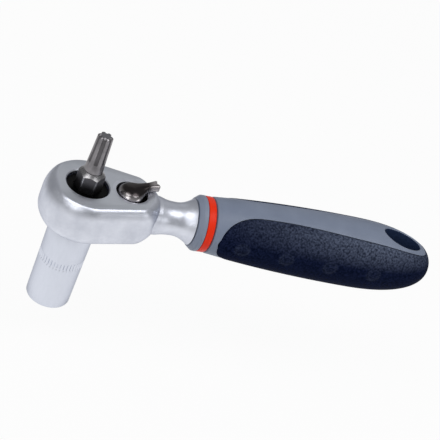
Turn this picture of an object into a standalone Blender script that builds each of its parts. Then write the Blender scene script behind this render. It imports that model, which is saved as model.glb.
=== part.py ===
"""Stubby bit ratchet with a reversing lever, a two-part grip, a socket and a screwdriver bit.

Metres, +Z up. The drive axis is vertical, the handle runs along +X, and the socket's end face lies on z = 0.
The origin is the middle of the footprint.
"""

from math import acos, cos, pi, radians, sin, sqrt

import bmesh
import bpy
from mathutils import Matrix, Vector

# Clearances
SEAT_GAP = 0.0003
FACE_GAP = 0.00015
RUNNING_GAP = 0.00015

# Head
HEAD_RADIUS = 0.0112
HEAD_CENTRE = 0.0004
HEAD_THICKNESS = 0.011
HEAD_EDGE_RADIUS = 0.0013
NOSE_RADIUS = 0.0085
NOSE_OFFSET = 0.0121
TOP_WALL = 0.0020
TOP_HOLE_RADIUS = 0.0057

# Neck and tang, turned about the handle's axis
HANDLE_AXIS_DEPTH = 0.00625
NECK_RADIUS = 0.0044
NECK_WAIST = 0.025
NECK_ROOT = 0.020
NECK_ROOT_RADIUS = 0.0052
NECK_BURIED_RADIUS = 0.0047
NECK_END = 0.0297
NECK_END_RADIUS = 0.0061
TANG_RADIUS = 0.0042
TANG_END = 0.070

# Drive gear
TOOTH_COUNT = 72
GEAR_TIP_RADIUS = 0.0078
TOOTH_DEPTH = 0.00042
GEAR_HUB_RECESS = 0.0009
LOWER_HUB_RADIUS = 0.0052
SHOULDER_HEIGHT = 0.0016
SQUARE_SIDE = 0.00635
SQUARE_LENGTH = 0.0075
SEAL_WIRE_RADIUS = 0.0003

# Cover parts under the gear
COVER_LIP = 0.0005
COVER_RING_THICKNESS = 0.0007
COVER_RING_WIDTH = 0.0015
COVER_PLATE_THICKNESS = 0.0009
COVER_PLATE_MARGIN = 0.0005
COVER_RING_GAP_ANGLE = radians(40)
WASHER_THICKNESS = 0.0003
WASHER_RADIUS = 0.0070

# Bit and its magnet
BIT_ACROSS_FLATS = 0.00635
BIT_TURN = radians(15)
BIT_LENGTH = 0.025
BIT_STANDOUT = 0.0155
BIT_SHANK_STANDOUT = 0.0034
BIT_CHAMFER_HEIGHT = 0.0012
BIT_SHAFT_RADIUS = 0.0024
BIT_TIP_RADIUS = 0.0020
BIT_FLUTE_RADIUS = 0.0010
BIT_FLUTE_REACH = 0.0020
BIT_FLUTE_LENGTH = 0.0078
MAGNET_RADIUS = 0.0026
MAGNET_THICKNESS = 0.0018

# Socket
SOCKET_LENGTH = 0.025
SOCKET_RADIUS = 0.0061
SOCKET_END_RADIUS = 0.0059
SOCKET_EDGE = 0.0003
SOCKET_ACROSS_FLATS = 0.0081
SOCKET_HEX_DEPTH = 0.0105
SOCKET_BORE_RADIUS = 0.0030
SOCKET_SQUARE_DEPTH = 0.0085
SOCKET_SQUARE_PLAY = 0.000125

# Ball detent in the square
BALL_RADIUS = 0.0010
BALL_DROP = 0.0038
BALL_BORE_DEPTH = 0.0047

# Reversing lever
LEVER_REACH = 0.0040
LEVER_REST = radians(21)
LEVER_RECESS_RADIUS = 0.0043
LEVER_RECESS_DEPTH = 0.0013
LEVER_HUB_RADIUS = 0.0035
LEVER_HUB_SIDE = 0.0002
LEVER_DOME_HEIGHT = 0.0014
LEVER_SHAFT_RADIUS = 0.0020
LEVER_SHAFT_LENGTH = 0.0069
LEVER_ARM_LENGTH = 0.0072
LEVER_ARM_ROOT = 0.0022
LEVER_ARM_WAIST = 0.0011
LEVER_WAIST_REACH = 0.0043
LEVER_ARM_TIP = 0.0014
LEVER_ARM_NOTCH = 0.0006
LEVER_ARM_GAP = 0.0002
LEVER_ARM_THICKNESS = 0.0020
LEVER_RING_THICKNESS = 0.0006
LEVER_RING_WIDTH = 0.00055
LEVER_RING_BITE = 0.0004
LEVER_RING_GAP_ANGLE = radians(60)

# Pawl, plunger and spring
PAWL_THICKNESS = 0.0021
PAWL_HALF_ANGLE = radians(31.25)
PAWL_TOOTH_SPAN = radians(10)
PAWL_MESH_GAP = 0.00025
PAWL_RELIEF = 0.0002
PAWL_RELIEF_ANGLE = radians(3)
PAWL_ROCK = radians(4)
PAWL_PIVOT_DEPTH = 0.0009
PAWL_HEIGHT = 0.0043
POCKET_MARGIN = 0.0007
POCKET_END_ANGLE = radians(7)
PLUNGER_RADIUS = 0.0006
PLUNGER_LENGTH = 0.00165
PLUNGER_REACH = 0.00025
SPRING_WIRE_RADIUS = 0.00011
SPRING_TURNS = 3

# Grip
COLLAR_LENGTH = 0.0022
COLLAR_FRONT_RADIUS = 0.0065
COLLAR_REAR_RADIUS = 0.0075
ACCENT_LENGTH = 0.0020
ACCENT_RADIUS = 0.0073
HANDLE_END = 0.0994
GRIP_FRONT_RADIUS = 0.0076
GRIP_SWELL_POWER = 2.1
BELLY_RADIUS = 0.0095
BELLY_X = 0.0745
TAIL_POWER = 2.45
GRIP_DROOP = 0.00115
SLEEVE_THICKNESS = 0.0013
SLEEVE_FRONT = 0.0363
STRIP_HALF_WIDTH = 0.0036
STRIP_SHOULDER_LENGTH = 0.0107
STRIP_SHOULDER_RISE = 0.0046
STRIP_SHOULDER_POWER = 0.72
STRIP_WIDENS_AT = 0.050
STRIP_TAIL_X = 0.082
STRIP_TAIL_HALF_WIDTH = 0.00495
STRIP_NOSE_X = 0.0969
STRIP_NOSE_POWER = 2.6
HANG_HOLE_X = 0.0891
HANG_HOLE_HALF_LENGTH = 0.0060
HANG_HOLE_HALF_WIDTH = 0.0033

# Facets
ROUND_SIDES = 40
NECK_SIDES = 32
SMALL_SIDES = 24
BORE_SIDES = 16
PIN_SIDES = 12
EDGE_SEGMENTS = 3
EDGE_ANGLE = radians(60)
CURVE_STEPS = 8
HEAD_ARC_STEPS = 32
NOSE_ARC_STEPS = 16
HOLE_SIDES = 36
GRIP_STEPS = 9
TAIL_END_ANGLE = radians(88.5)
GRIP_SIDES_LEVEL = 10
WIRE_SIDES_LEVEL = 1
POINTS_PER_TURN = 10

# Places that follow from the sizes above
DRIVE_X = (HEAD_RADIUS - HEAD_CENTRE - HANDLE_END) / 2
HEAD_BOTTOM = SOCKET_LENGTH + SEAT_GAP + SHOULDER_HEIGHT
HEAD_TOP = HEAD_BOTTOM + HEAD_THICKNESS
HANDLE_Z = HEAD_TOP - HANDLE_AXIS_DEPTH
CHAMBER_RADIUS = GEAR_TIP_RADIUS + SEAT_GAP
COVER_PLATE_RADIUS = GEAR_TIP_RADIUS + COVER_PLATE_MARGIN
PAWL_OUTER_RADIUS = GEAR_TIP_RADIUS + PAWL_THICKNESS
PAWL_PIVOT = GEAR_TIP_RADIUS + PAWL_PIVOT_DEPTH
LEVER_OFFSET = GEAR_TIP_RADIUS + LEVER_REACH
CHAMBER_TOP = HEAD_TOP - TOP_WALL
PLATE_SEAT_RADIUS = COVER_PLATE_RADIUS + RUNNING_GAP
RING_GROOVE_RADIUS = PLATE_SEAT_RADIUS + COVER_RING_WIDTH / 2
RING_GROOVE_BOTTOM = HEAD_BOTTOM + COVER_LIP
RING_BOTTOM = RING_GROOVE_BOTTOM + FACE_GAP
RING_TOP = RING_BOTTOM + COVER_RING_THICKNESS
RING_GROOVE_TOP = RING_TOP + FACE_GAP
PLATE_BOTTOM = RING_GROOVE_TOP + FACE_GAP
PLATE_TOP = PLATE_BOTTOM + COVER_PLATE_THICKNESS
WASHER_BOTTOM = PLATE_TOP + FACE_GAP
WASHER_TOP = WASHER_BOTTOM + WASHER_THICKNESS
GEAR_BOTTOM = WASHER_TOP + FACE_GAP
GEAR_TOP = CHAMBER_TOP - SEAT_GAP
HUB_RADIUS = TOP_HOLE_RADIUS - SEAT_GAP
HUB_TOP = HEAD_TOP - GEAR_HUB_RECESS
SEAL_MIDDLE = (GEAR_TOP + HUB_TOP) / 2
SHOULDER_BOTTOM = SOCKET_LENGTH + SEAT_GAP
BIT_TIP = HEAD_TOP + BIT_STANDOUT
BIT_BOTTOM = BIT_TIP - BIT_LENGTH
MAGNET_TOP = BIT_BOTTOM - SEAT_GAP
MAGNET_BOTTOM = MAGNET_TOP - MAGNET_THICKNESS
BALL_Z = SHOULDER_BOTTOM - BALL_DROP
BALL_CENTRE = SQUARE_SIDE / 2 - BALL_RADIUS
LEVER_FLOOR = HEAD_TOP - LEVER_RECESS_DEPTH
LEVER_HUB_BOTTOM = LEVER_FLOOR + SEAT_GAP
LEVER_RIM = LEVER_HUB_BOTTOM + LEVER_HUB_SIDE
LEVER_DOME_TOP = LEVER_RIM + LEVER_DOME_HEIGHT
LEVER_ARM_BOTTOM = HEAD_TOP + LEVER_ARM_GAP
LEVER_ARM_TOP = LEVER_ARM_BOTTOM + LEVER_ARM_THICKNESS
LEVER_SHAFT_BOTTOM = LEVER_HUB_BOTTOM - LEVER_SHAFT_LENGTH
LEVER_BORE_RADIUS = LEVER_SHAFT_RADIUS + RUNNING_GAP
LEVER_RING_TOP = LEVER_FLOOR - 4 * FACE_GAP
LEVER_RING_BOTTOM = LEVER_RING_TOP - LEVER_RING_THICKNESS
PAWL_MIDDLE = (GEAR_BOTTOM + GEAR_TOP) / 2
PAWL_BOTTOM = PAWL_MIDDLE - PAWL_HEIGHT / 2
PAWL_TOP = PAWL_MIDDLE + PAWL_HEIGHT / 2
PLUNGER_TIP = LEVER_SHAFT_RADIUS + PLUNGER_REACH
PLUNGER_TAIL = PLUNGER_TIP - PLUNGER_LENGTH
PLUNGER_BORE_RADIUS = PLUNGER_RADIUS + RUNNING_GAP
COLLAR_START = NECK_END + SEAT_GAP
COLLAR_END = COLLAR_START + COLLAR_LENGTH
ACCENT_START = COLLAR_END + FACE_GAP
ACCENT_END = ACCENT_START + ACCENT_LENGTH
CORE_START = ACCENT_END + SEAT_GAP
TANG_BORE_RADIUS = TANG_RADIUS + SEAT_GAP


# Scene set-up


def clear_scene():
    for old in list(bpy.data.objects):
        bpy.data.objects.remove(old, do_unlink=True)


def make_collection(name):
    group = bpy.data.collections.new(name)
    bpy.context.scene.collection.children.link(group)
    return group


def make_material(name, colour, roughness, metallic):
    material = bpy.data.materials.new(name)
    material.use_nodes = True
    shader = material.node_tree.nodes["Principled BSDF"]
    shader.inputs["Base Color"].default_value = (*colour, 1.0)
    shader.inputs["Roughness"].default_value = roughness
    shader.inputs["Metallic"].default_value = metallic
    material.diffuse_color = (*colour, 1.0)
    return material


clear_scene()
PARTS = make_collection("bit_ratchet")
CUTTERS = make_collection("bit_ratchet_cutters")
CHROME = make_material("satin_chrome", (0.62, 0.64, 0.68), 0.28, 1.0)
NICKEL = make_material("dark_nickel", (0.06, 0.06, 0.07), 0.22, 1.0)
OXIDE = make_material("black_oxide", (0.03, 0.03, 0.035), 0.45, 1.0)
TOOL_STEEL = make_material("tool_steel", (0.30, 0.28, 0.26), 0.38, 1.0)
SPRING_STEEL = make_material("spring_steel", (0.45, 0.45, 0.46), 0.30, 1.0)
GREY_PLASTIC = make_material("grey_plastic", (0.20, 0.23, 0.28), 0.50, 0.0)
RED_PLASTIC = make_material("red_plastic", (0.70, 0.03, 0.01), 0.25, 0.0)
RUBBER = make_material("dark_rubber", (0.012, 0.014, 0.030), 0.60, 0.0)


def make_empty(name, location, turn=0.0):
    """A frame on a joint's axis, turned about Z."""
    empty = bpy.data.objects.new(name, None)
    empty.location = location
    empty.rotation_euler = (0.0, 0.0, turn)
    PARTS.objects.link(empty)
    return empty


DRIVE_AXIS = make_empty("drive_axis", (DRIVE_X, 0.0, 0.0))
LEVER_AXIS = make_empty("lever_axis", (DRIVE_X + LEVER_OFFSET, 0.0, 0.0), LEVER_REST)
PAWL_AXIS = make_empty("pawl_axis", (DRIVE_X + PAWL_PIVOT, 0.0, 0.0), -PAWL_ROCK)
# The handle's frame has its own Z along the handle, towards +X.
HANDLE_AXIS = make_empty("handle_axis", (DRIVE_X, 0.0, HANDLE_Z))
HANDLE_AXIS.rotation_euler = (0.0, pi / 2, 0.0)
bpy.context.view_layer.update()


def add_object(name, data, parent, group=None):
    item = bpy.data.objects.new(name, data)
    (group or PARTS).objects.link(item)
    item.parent = parent
    return item


def finish(item, material, smooth_angle=radians(40)):
    """Gives a finished piece its material and shades its round faces smooth."""
    item.data.materials.append(material)
    if item.type == "MESH":
        item.data.shade_smooth()
        item.data.set_sharp_from_angle(angle=smooth_angle)
    return item


def as_cutter(item):
    """Turns a shape into a hidden tool for the Boolean modifiers."""
    for group in list(item.users_collection):
        group.objects.unlink(item)
    CUTTERS.objects.link(item)
    item.hide_render = True
    item.display_type = "WIRE"
    return item


def combine(target, other, operation):
    modifier = target.modifiers.new(other.name, "BOOLEAN")
    modifier.operation = operation
    modifier.object = as_cutter(other)
    return target


def cut(target, *tools):
    for tool in tools:
        combine(target, tool, "DIFFERENCE")
    return target


def join(target, *tools):
    for tool in tools:
        combine(target, tool, "UNION")
    return target


# Basic shapes


def arc(radius, start, end, steps, centre=(0.0, 0.0)):
    """Points on an arc about centre, from angle start to angle end."""
    turns = [start + (end - start) * step / steps for step in range(steps + 1)]
    return [(centre[0] + radius * cos(a), centre[1] + radius * sin(a)) for a in turns]


def turned(name, profile, parent, sides=ROUND_SIDES, closed=False):
    """A turned solid about the parent's Z. The profile (radius, z) runs down the outer side."""
    mesh = bpy.data.meshes.new(name)
    count = len(profile)
    edges = [(step, step + 1) for step in range(count - 1)]
    if closed:
        edges.append((count - 1, 0))
    mesh.from_pydata([(radius, 0.0, z) for radius, z in profile], edges, [])
    item = add_object(name, mesh, parent)
    screw = item.modifiers.new("turn", "SCREW")
    screw.axis = "Z"
    screw.steps = sides
    screw.render_steps = sides
    screw.use_merge_vertices = True
    screw.merge_threshold = 0.000001
    return item


def drum(name, radius, bottom, top, parent, sides=ROUND_SIDES):
    return turned(name, [(0.0, top), (radius, top), (radius, bottom), (0.0, bottom)], parent, sides)


def ring(name, inner, outer, bottom, top, parent, sides=ROUND_SIDES):
    profile = [(inner, top), (outer, top), (outer, bottom), (inner, bottom)]
    return turned(name, profile, parent, sides, closed=True)


def mesh_from_curve(curve_item, flat_caps=False):
    """Replaces a curve by a welded mesh object of the same name and place, with each flat cap as one face."""
    bpy.context.view_layer.update()
    graph = bpy.context.evaluated_depsgraph_get()
    mesh = bpy.data.meshes.new_from_object(curve_item.evaluated_get(graph))
    shape = bmesh.new()
    shape.from_mesh(mesh)
    bmesh.ops.remove_doubles(shape, verts=shape.verts, dist=0.000001)
    if flat_caps:
        limit = radians(0.2)
        bmesh.ops.dissolve_limit(shape, angle_limit=limit, verts=shape.verts, edges=shape.edges)
    bmesh.ops.recalc_face_normals(shape, faces=shape.faces)
    shape.to_mesh(mesh)
    shape.free()
    name, parent = curve_item.name, curve_item.parent
    place = curve_item.matrix_world.copy()
    bpy.data.objects.remove(curve_item, do_unlink=True)
    item = add_object(name, mesh, parent)
    item.matrix_world = place
    return item


def prism(name, outline, bottom, top, parent):
    """A flat outline (x, y) in the parent's frame, raised from bottom to top."""
    curve = bpy.data.curves.new(name, "CURVE")
    curve.dimensions = "2D"
    curve.fill_mode = "BOTH"
    curve.extrude = (top - bottom) / 2
    spline = curve.splines.new("POLY")
    spline.points.add(len(outline) - 1)
    for point, (x, y) in zip(spline.points, outline):
        point.co = (x, y, 0.0, 1.0)
    spline.use_cyclic_u = True
    item = add_object(name, curve, parent)
    item.location = (0.0, 0.0, (top + bottom) / 2)
    return mesh_from_curve(item, flat_caps=True)


def tube(name, stations, parent, level, keep_curve=False):
    """A round bar through stations of (point, radius)."""
    curve = bpy.data.curves.new(name, "CURVE")
    curve.dimensions = "3D"
    curve.bevel_depth = 1.0
    curve.bevel_resolution = level
    curve.use_fill_caps = True
    spline = curve.splines.new("POLY")
    spline.points.add(len(stations) - 1)
    for point, (place, radius) in zip(spline.points, stations):
        point.co = (*place, 1.0)
        point.radius = radius
    item = add_object(name, curve, parent)
    return item if keep_curve else mesh_from_curve(item)


def hexagon(across_flats, turn=0.0):
    """A hexagon with two flats square to X, or turned from there."""
    return arc(across_flats / sqrt(3), turn + radians(30), turn + radians(330), 5)


def square(side):
    half = side / 2
    return [(half, half), (-half, half), (-half, -half), (half, -half)]


def c_ring(name, inner, outer, bottom, top, gap_angle, parent, sides):
    """A flat open ring whose gap is centred on +X."""
    start = gap_angle / 2
    end = 2 * pi - start
    outline = arc(outer, start, end, sides) + arc(inner, end, start, sides)
    return prism(name, outline, bottom, top, parent)


def coil(name, start, end, radius, parent, across):
    """A compression spring along a straight line, with its middle line on the parent's local axis."""
    axis = (Vector(end) - Vector(start)).normalized()
    side = Vector(across)
    other = axis.cross(side)
    steps = SPRING_TURNS * POINTS_PER_TURN
    stations = []
    for step in range(steps + 1):
        share = step / steps
        turn = 2 * pi * SPRING_TURNS * share
        point = Vector(start).lerp(Vector(end), share) + radius * (side * cos(turn) + other * sin(turn))
        stations.append((point, SPRING_WIRE_RADIUS))
    return tube(name, stations, parent, WIRE_SIDES_LEVEL, keep_curve=True)


# Ratchet body


def head_outline():
    """Two circles and their outer tangents: the pear plan of the head."""
    tangent = acos((HEAD_RADIUS - NOSE_RADIUS) / (NOSE_OFFSET - HEAD_CENTRE))
    big = arc(HEAD_RADIUS, tangent, 2 * pi - tangent, HEAD_ARC_STEPS, (HEAD_CENTRE, 0.0))
    small = arc(NOSE_RADIUS, -tangent, tangent, NOSE_ARC_STEPS, (NOSE_OFFSET, 0.0))
    return big + small


def neck_profile():
    """Radius against distance along the handle, from the collar back into the head."""
    steps = CURVE_STEPS
    after = [NECK_END + (NECK_WAIST - NECK_END) * step / steps for step in range(steps)]
    before = [NECK_WAIST + (NECK_ROOT - NECK_WAIST) * step / steps for step in range(steps + 1)]
    flare = (NECK_END_RADIUS - NECK_RADIUS) / (NECK_END - NECK_WAIST) ** 2
    rise = (NECK_ROOT_RADIUS - NECK_RADIUS) / (NECK_ROOT - NECK_WAIST) ** 2
    outer = [(NECK_RADIUS + flare * (x - NECK_WAIST) ** 2, x) for x in after]
    outer += [(NECK_RADIUS + rise * (x - NECK_WAIST) ** 2, x) for x in before]
    inside = NOSE_OFFSET + NOSE_RADIUS / 2 + NECK_BURIED_RADIUS / 4
    tang = [(0.0, TANG_END), (TANG_RADIUS, TANG_END), (TANG_RADIUS, NECK_END)]
    return tang + outer + [(NECK_BURIED_RADIUS, inside), (0.0, inside)]


def chamber_cutter():
    above = HEAD_TOP + SEAT_GAP
    below = HEAD_BOTTOM - SEAT_GAP
    seat_top = PLATE_TOP + FACE_GAP
    profile = [
        (0.0, above),
        (TOP_HOLE_RADIUS, above),
        (TOP_HOLE_RADIUS, CHAMBER_TOP),
        (CHAMBER_RADIUS, CHAMBER_TOP),
        (CHAMBER_RADIUS, seat_top),
        (PLATE_SEAT_RADIUS, seat_top),
        (PLATE_SEAT_RADIUS, RING_GROOVE_TOP),
        (RING_GROOVE_RADIUS, RING_GROOVE_TOP),
        (RING_GROOVE_RADIUS, RING_GROOVE_BOTTOM),
        (PLATE_SEAT_RADIUS, RING_GROOVE_BOTTOM),
        (PLATE_SEAT_RADIUS, below),
        (0.0, below),
    ]
    return turned("gear_chamber_cutter", profile, DRIVE_AXIS)


def lever_cutter():
    above = HEAD_TOP + SEAT_GAP
    groove_radius = LEVER_BORE_RADIUS + LEVER_RING_BITE
    profile = [
        (0.0, above),
        (LEVER_RECESS_RADIUS, above),
        (LEVER_RECESS_RADIUS, LEVER_FLOOR),
        (LEVER_BORE_RADIUS, LEVER_FLOOR),
        (LEVER_BORE_RADIUS, LEVER_RING_TOP + FACE_GAP),
        (groove_radius, LEVER_RING_TOP + FACE_GAP),
        (groove_radius, LEVER_RING_BOTTOM - FACE_GAP),
        (LEVER_BORE_RADIUS, LEVER_RING_BOTTOM - FACE_GAP),
        (LEVER_BORE_RADIUS, LEVER_SHAFT_BOTTOM - SEAT_GAP),
        (0.0, LEVER_SHAFT_BOTTOM - SEAT_GAP),
    ]
    return turned("lever_bore_cutter", profile, LEVER_AXIS, SMALL_SIDES)


def pocket_cutter():
    half = PAWL_HALF_ANGLE + POCKET_END_ANGLE
    outline = arc(PAWL_OUTER_RADIUS + POCKET_MARGIN, -half, half, BORE_SIDES)
    outline += arc(GEAR_TIP_RADIUS - TOOTH_DEPTH, half, -half, PIN_SIDES)
    return prism("pawl_pocket_cutter", outline, PAWL_BOTTOM - SEAT_GAP, PAWL_TOP + SEAT_GAP, DRIVE_AXIS)


def build_ratchet_body():
    body = prism("ratchet_body", head_outline(), HEAD_BOTTOM, HEAD_TOP, DRIVE_AXIS)
    bevel = body.modifiers.new("rounded_edges", "BEVEL")
    bevel.width = HEAD_EDGE_RADIUS
    bevel.segments = EDGE_SEGMENTS
    bevel.limit_method = "ANGLE"
    bevel.angle_limit = EDGE_ANGLE
    join(body, turned("neck_and_tang", neck_profile(), HANDLE_AXIS, NECK_SIDES))
    cut(body, chamber_cutter(), lever_cutter(), pocket_cutter())
    return finish(body, CHROME)


# Drive train


def tooth_outline():
    """Pointed teeth, with a tip on +X."""
    points = []
    half_pitch = pi / TOOTH_COUNT
    root = GEAR_TIP_RADIUS - TOOTH_DEPTH
    for tooth in range(TOOTH_COUNT):
        angle = 2 * half_pitch * tooth
        points.append((GEAR_TIP_RADIUS * cos(angle), GEAR_TIP_RADIUS * sin(angle)))
        points.append((root * cos(angle + half_pitch), root * sin(angle + half_pitch)))
    return points


def build_drive_gear():
    gear = prism("drive_gear", tooth_outline(), GEAR_BOTTOM, GEAR_TOP, DRIVE_AXIS)
    groove_top = SEAL_MIDDLE + SEAL_WIRE_RADIUS + FACE_GAP
    groove_bottom = SEAL_MIDDLE - SEAL_WIRE_RADIUS - FACE_GAP
    groove_radius = HUB_RADIUS - 2 * SEAL_WIRE_RADIUS
    hubs = [
        (0.0, HUB_TOP),
        (HUB_RADIUS, HUB_TOP),
        (HUB_RADIUS, groove_top),
        (groove_radius, groove_top),
        (groove_radius, groove_bottom),
        (HUB_RADIUS, groove_bottom),
        (HUB_RADIUS, PAWL_MIDDLE),
        (LOWER_HUB_RADIUS, PAWL_MIDDLE),
        (LOWER_HUB_RADIUS, SHOULDER_BOTTOM),
        (0.0, SHOULDER_BOTTOM),
    ]
    join(gear, turned("gear_hubs", hubs, DRIVE_AXIS))
    square_bottom = SHOULDER_BOTTOM - SQUARE_LENGTH
    square_top = MAGNET_BOTTOM - SEAT_GAP
    join(gear, prism("drive_square", square(SQUARE_SIDE), square_bottom, square_top, DRIVE_AXIS))
    hex_size = BIT_ACROSS_FLATS + 2 * RUNNING_GAP
    hex_hole = hexagon(hex_size, BIT_TURN)
    cut(gear, prism("hex_hole", hex_hole, MAGNET_TOP, HUB_TOP + SEAT_GAP, DRIVE_AXIS))
    pocket_radius = MAGNET_RADIUS + RUNNING_GAP
    pocket_bottom = MAGNET_BOTTOM - FACE_GAP
    pocket_top = MAGNET_TOP + SEAT_GAP
    cut(gear, drum("magnet_pocket", pocket_radius, pocket_bottom, pocket_top, DRIVE_AXIS, SMALL_SIDES))
    ball_bore = drum("ball_bore", BALL_RADIUS + RUNNING_GAP, 0.0, BALL_BORE_DEPTH, DRIVE_AXIS, BORE_SIDES)
    ball_bore.location = (0.0, SQUARE_SIDE / 2 + SEAT_GAP, BALL_Z)
    ball_bore.rotation_euler = (pi / 2, 0.0, 0.0)
    cut(gear, ball_bore)
    return finish(gear, OXIDE)


def build_cover_parts():
    plate_bore = LOWER_HUB_RADIUS + SEAT_GAP
    plate = ring("cover_plate", plate_bore, COVER_PLATE_RADIUS, PLATE_BOTTOM, PLATE_TOP, DRIVE_AXIS)
    finish(plate, CHROME)
    outer = RING_GROOVE_RADIUS - RUNNING_GAP
    inner = outer - COVER_RING_WIDTH
    snap = c_ring(
        "cover_snap_ring", inner, outer, RING_BOTTOM, RING_TOP, COVER_RING_GAP_ANGLE, DRIVE_AXIS, NECK_SIDES
    )
    finish(snap, SPRING_STEEL)
    washer = ring("gear_friction_washer", plate_bore, WASHER_RADIUS, WASHER_BOTTOM, WASHER_TOP, DRIVE_AXIS)
    finish(washer, SPRING_STEEL)


def build_dust_seal():
    """A round ring that lies in the hub's groove and just clears the top hole."""
    centre = HUB_RADIUS - SEAL_WIRE_RADIUS + FACE_GAP
    step = 2 * pi / CURVE_STEPS
    profile = arc(SEAL_WIRE_RADIUS, 2 * pi, step, CURVE_STEPS - 1, (centre, SEAL_MIDDLE))
    seal = turned("gear_dust_seal", profile, DRIVE_AXIS, NECK_SIDES, closed=True)
    return finish(seal, RUBBER, radians(80))


def build_bit_magnet():
    magnet = drum("bit_magnet", MAGNET_RADIUS, MAGNET_BOTTOM, MAGNET_TOP, DRIVE_AXIS, SMALL_SIDES)
    return finish(magnet, SPRING_STEEL)


def build_detent():
    mesh = bpy.data.meshes.new("detent_ball")
    shape = bmesh.new()
    bmesh.ops.create_uvsphere(shape, u_segments=BORE_SIDES, v_segments=CURVE_STEPS, radius=BALL_RADIUS)
    shape.to_mesh(mesh)
    shape.free()
    ball = add_object("detent_ball", mesh, DRIVE_AXIS)
    ball.location = (0.0, BALL_CENTRE, BALL_Z)
    finish(ball, SPRING_STEEL, radians(80))
    near = (0.0, BALL_CENTRE - BALL_RADIUS - SPRING_WIRE_RADIUS - FACE_GAP, BALL_Z)
    bottom = SQUARE_SIDE / 2 + SEAT_GAP - BALL_BORE_DEPTH
    far = (0.0, bottom + SPRING_WIRE_RADIUS + FACE_GAP, BALL_Z)
    radius = BALL_RADIUS - SPRING_WIRE_RADIUS - FACE_GAP
    finish(coil("detent_spring", far, near, radius, DRIVE_AXIS, (1.0, 0.0, 0.0)), SPRING_STEEL)


# Reversing lever and pawl


def arm_outline():
    """The fish-tail arm along +X, from the hub's middle to its notched tip."""
    tip_x = LEVER_ARM_LENGTH
    upper = [(0.0, LEVER_ARM_ROOT), (LEVER_WAIST_REACH, LEVER_ARM_WAIST), (tip_x, LEVER_ARM_TIP)]
    lower = [(x, -y) for x, y in reversed(upper)]
    return upper + [(tip_x - LEVER_ARM_NOTCH, 0.0)] + lower


def build_lever_arm():
    """The arm rises from inside the dome to its tip: its side view, met by its plan."""
    side = [
        (0.0, LEVER_RIM),
        (LEVER_HUB_RADIUS / 2, LEVER_RIM),
        (LEVER_HUB_RADIUS, LEVER_ARM_BOTTOM),
        (LEVER_ARM_LENGTH, LEVER_ARM_BOTTOM),
        (LEVER_ARM_LENGTH, LEVER_ARM_TOP),
        (0.0, LEVER_DOME_TOP - FACE_GAP),
    ]
    arm = prism("lever_arm", arm_outline(), LEVER_FLOOR, LEVER_ARM_TOP + SEAT_GAP, LEVER_AXIS)
    half_width = 2 * LEVER_HUB_RADIUS
    side_view = prism("lever_arm_side", side, -half_width, half_width, LEVER_AXIS)
    side_view.rotation_euler = (pi / 2, 0.0, 0.0)
    return combine(arm, side_view, "INTERSECT")


def build_reversing_lever():
    dome = []
    for step in range(CURVE_STEPS + 1):
        angle = (pi / 2) * (1 - step / CURVE_STEPS)
        dome.append((LEVER_HUB_RADIUS * cos(angle), LEVER_RIM + LEVER_DOME_HEIGHT * sin(angle)))
    groove_radius = LEVER_SHAFT_RADIUS - LEVER_RING_BITE
    profile = [(0.0, LEVER_DOME_TOP)] + dome[1:] + [
        (LEVER_HUB_RADIUS, LEVER_HUB_BOTTOM),
        (LEVER_SHAFT_RADIUS, LEVER_HUB_BOTTOM),
        (LEVER_SHAFT_RADIUS, LEVER_RING_TOP + FACE_GAP),
        (groove_radius, LEVER_RING_TOP + FACE_GAP),
        (groove_radius, LEVER_RING_BOTTOM - FACE_GAP),
        (LEVER_SHAFT_RADIUS, LEVER_RING_BOTTOM - FACE_GAP),
        (LEVER_SHAFT_RADIUS, LEVER_SHAFT_BOTTOM),
        (0.0, LEVER_SHAFT_BOTTOM),
    ]
    lever = turned("reversing_lever", profile, LEVER_AXIS, SMALL_SIDES)
    join(lever, build_lever_arm())
    depth = 2 * LEVER_SHAFT_RADIUS - PLUNGER_REACH
    bore = drum("plunger_bore", PLUNGER_BORE_RADIUS, 0.0, depth, LEVER_AXIS, BORE_SIDES)
    bore.location = (-LEVER_SHAFT_RADIUS - PLUNGER_REACH, 0.0, PAWL_MIDDLE)
    bore.rotation_euler = (0.0, pi / 2, 0.0)
    cut(lever, bore)
    return finish(lever, NICKEL)


def build_lever_inner_parts():
    outer = LEVER_BORE_RADIUS + LEVER_RING_BITE - RUNNING_GAP
    inner = outer - LEVER_RING_WIDTH
    bottom, top = LEVER_RING_BOTTOM, LEVER_RING_TOP
    snap = c_ring("lever_snap_ring", inner, outer, bottom, top, LEVER_RING_GAP_ANGLE, LEVER_AXIS, SMALL_SIDES)
    finish(snap, SPRING_STEEL)
    dome = PLUNGER_RADIUS / 2
    profile = [
        (0.0, 0.0),
        (PLUNGER_RADIUS / 2, 0.0),
        (PLUNGER_RADIUS, -dome),
        (PLUNGER_RADIUS, -PLUNGER_LENGTH),
        (0.0, -PLUNGER_LENGTH),
    ]
    plunger = turned("pawl_plunger", profile, LEVER_AXIS, PIN_SIDES)
    plunger.location = (-PLUNGER_TIP, 0.0, PAWL_MIDDLE)
    plunger.rotation_euler = (0.0, -pi / 2, 0.0)
    finish(plunger, TOOL_STEEL)
    bore_end = LEVER_SHAFT_RADIUS - 2 * PLUNGER_REACH
    near = (-PLUNGER_TAIL + SPRING_WIRE_RADIUS + FACE_GAP, 0.0, PAWL_MIDDLE)
    far = (bore_end - SPRING_WIRE_RADIUS - FACE_GAP, 0.0, PAWL_MIDDLE)
    radius = PLUNGER_RADIUS - SPRING_WIRE_RADIUS
    finish(coil("pawl_spring", near, far, radius, LEVER_AXIS, (0.0, 1.0, 0.0)), SPRING_STEEL)


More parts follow.
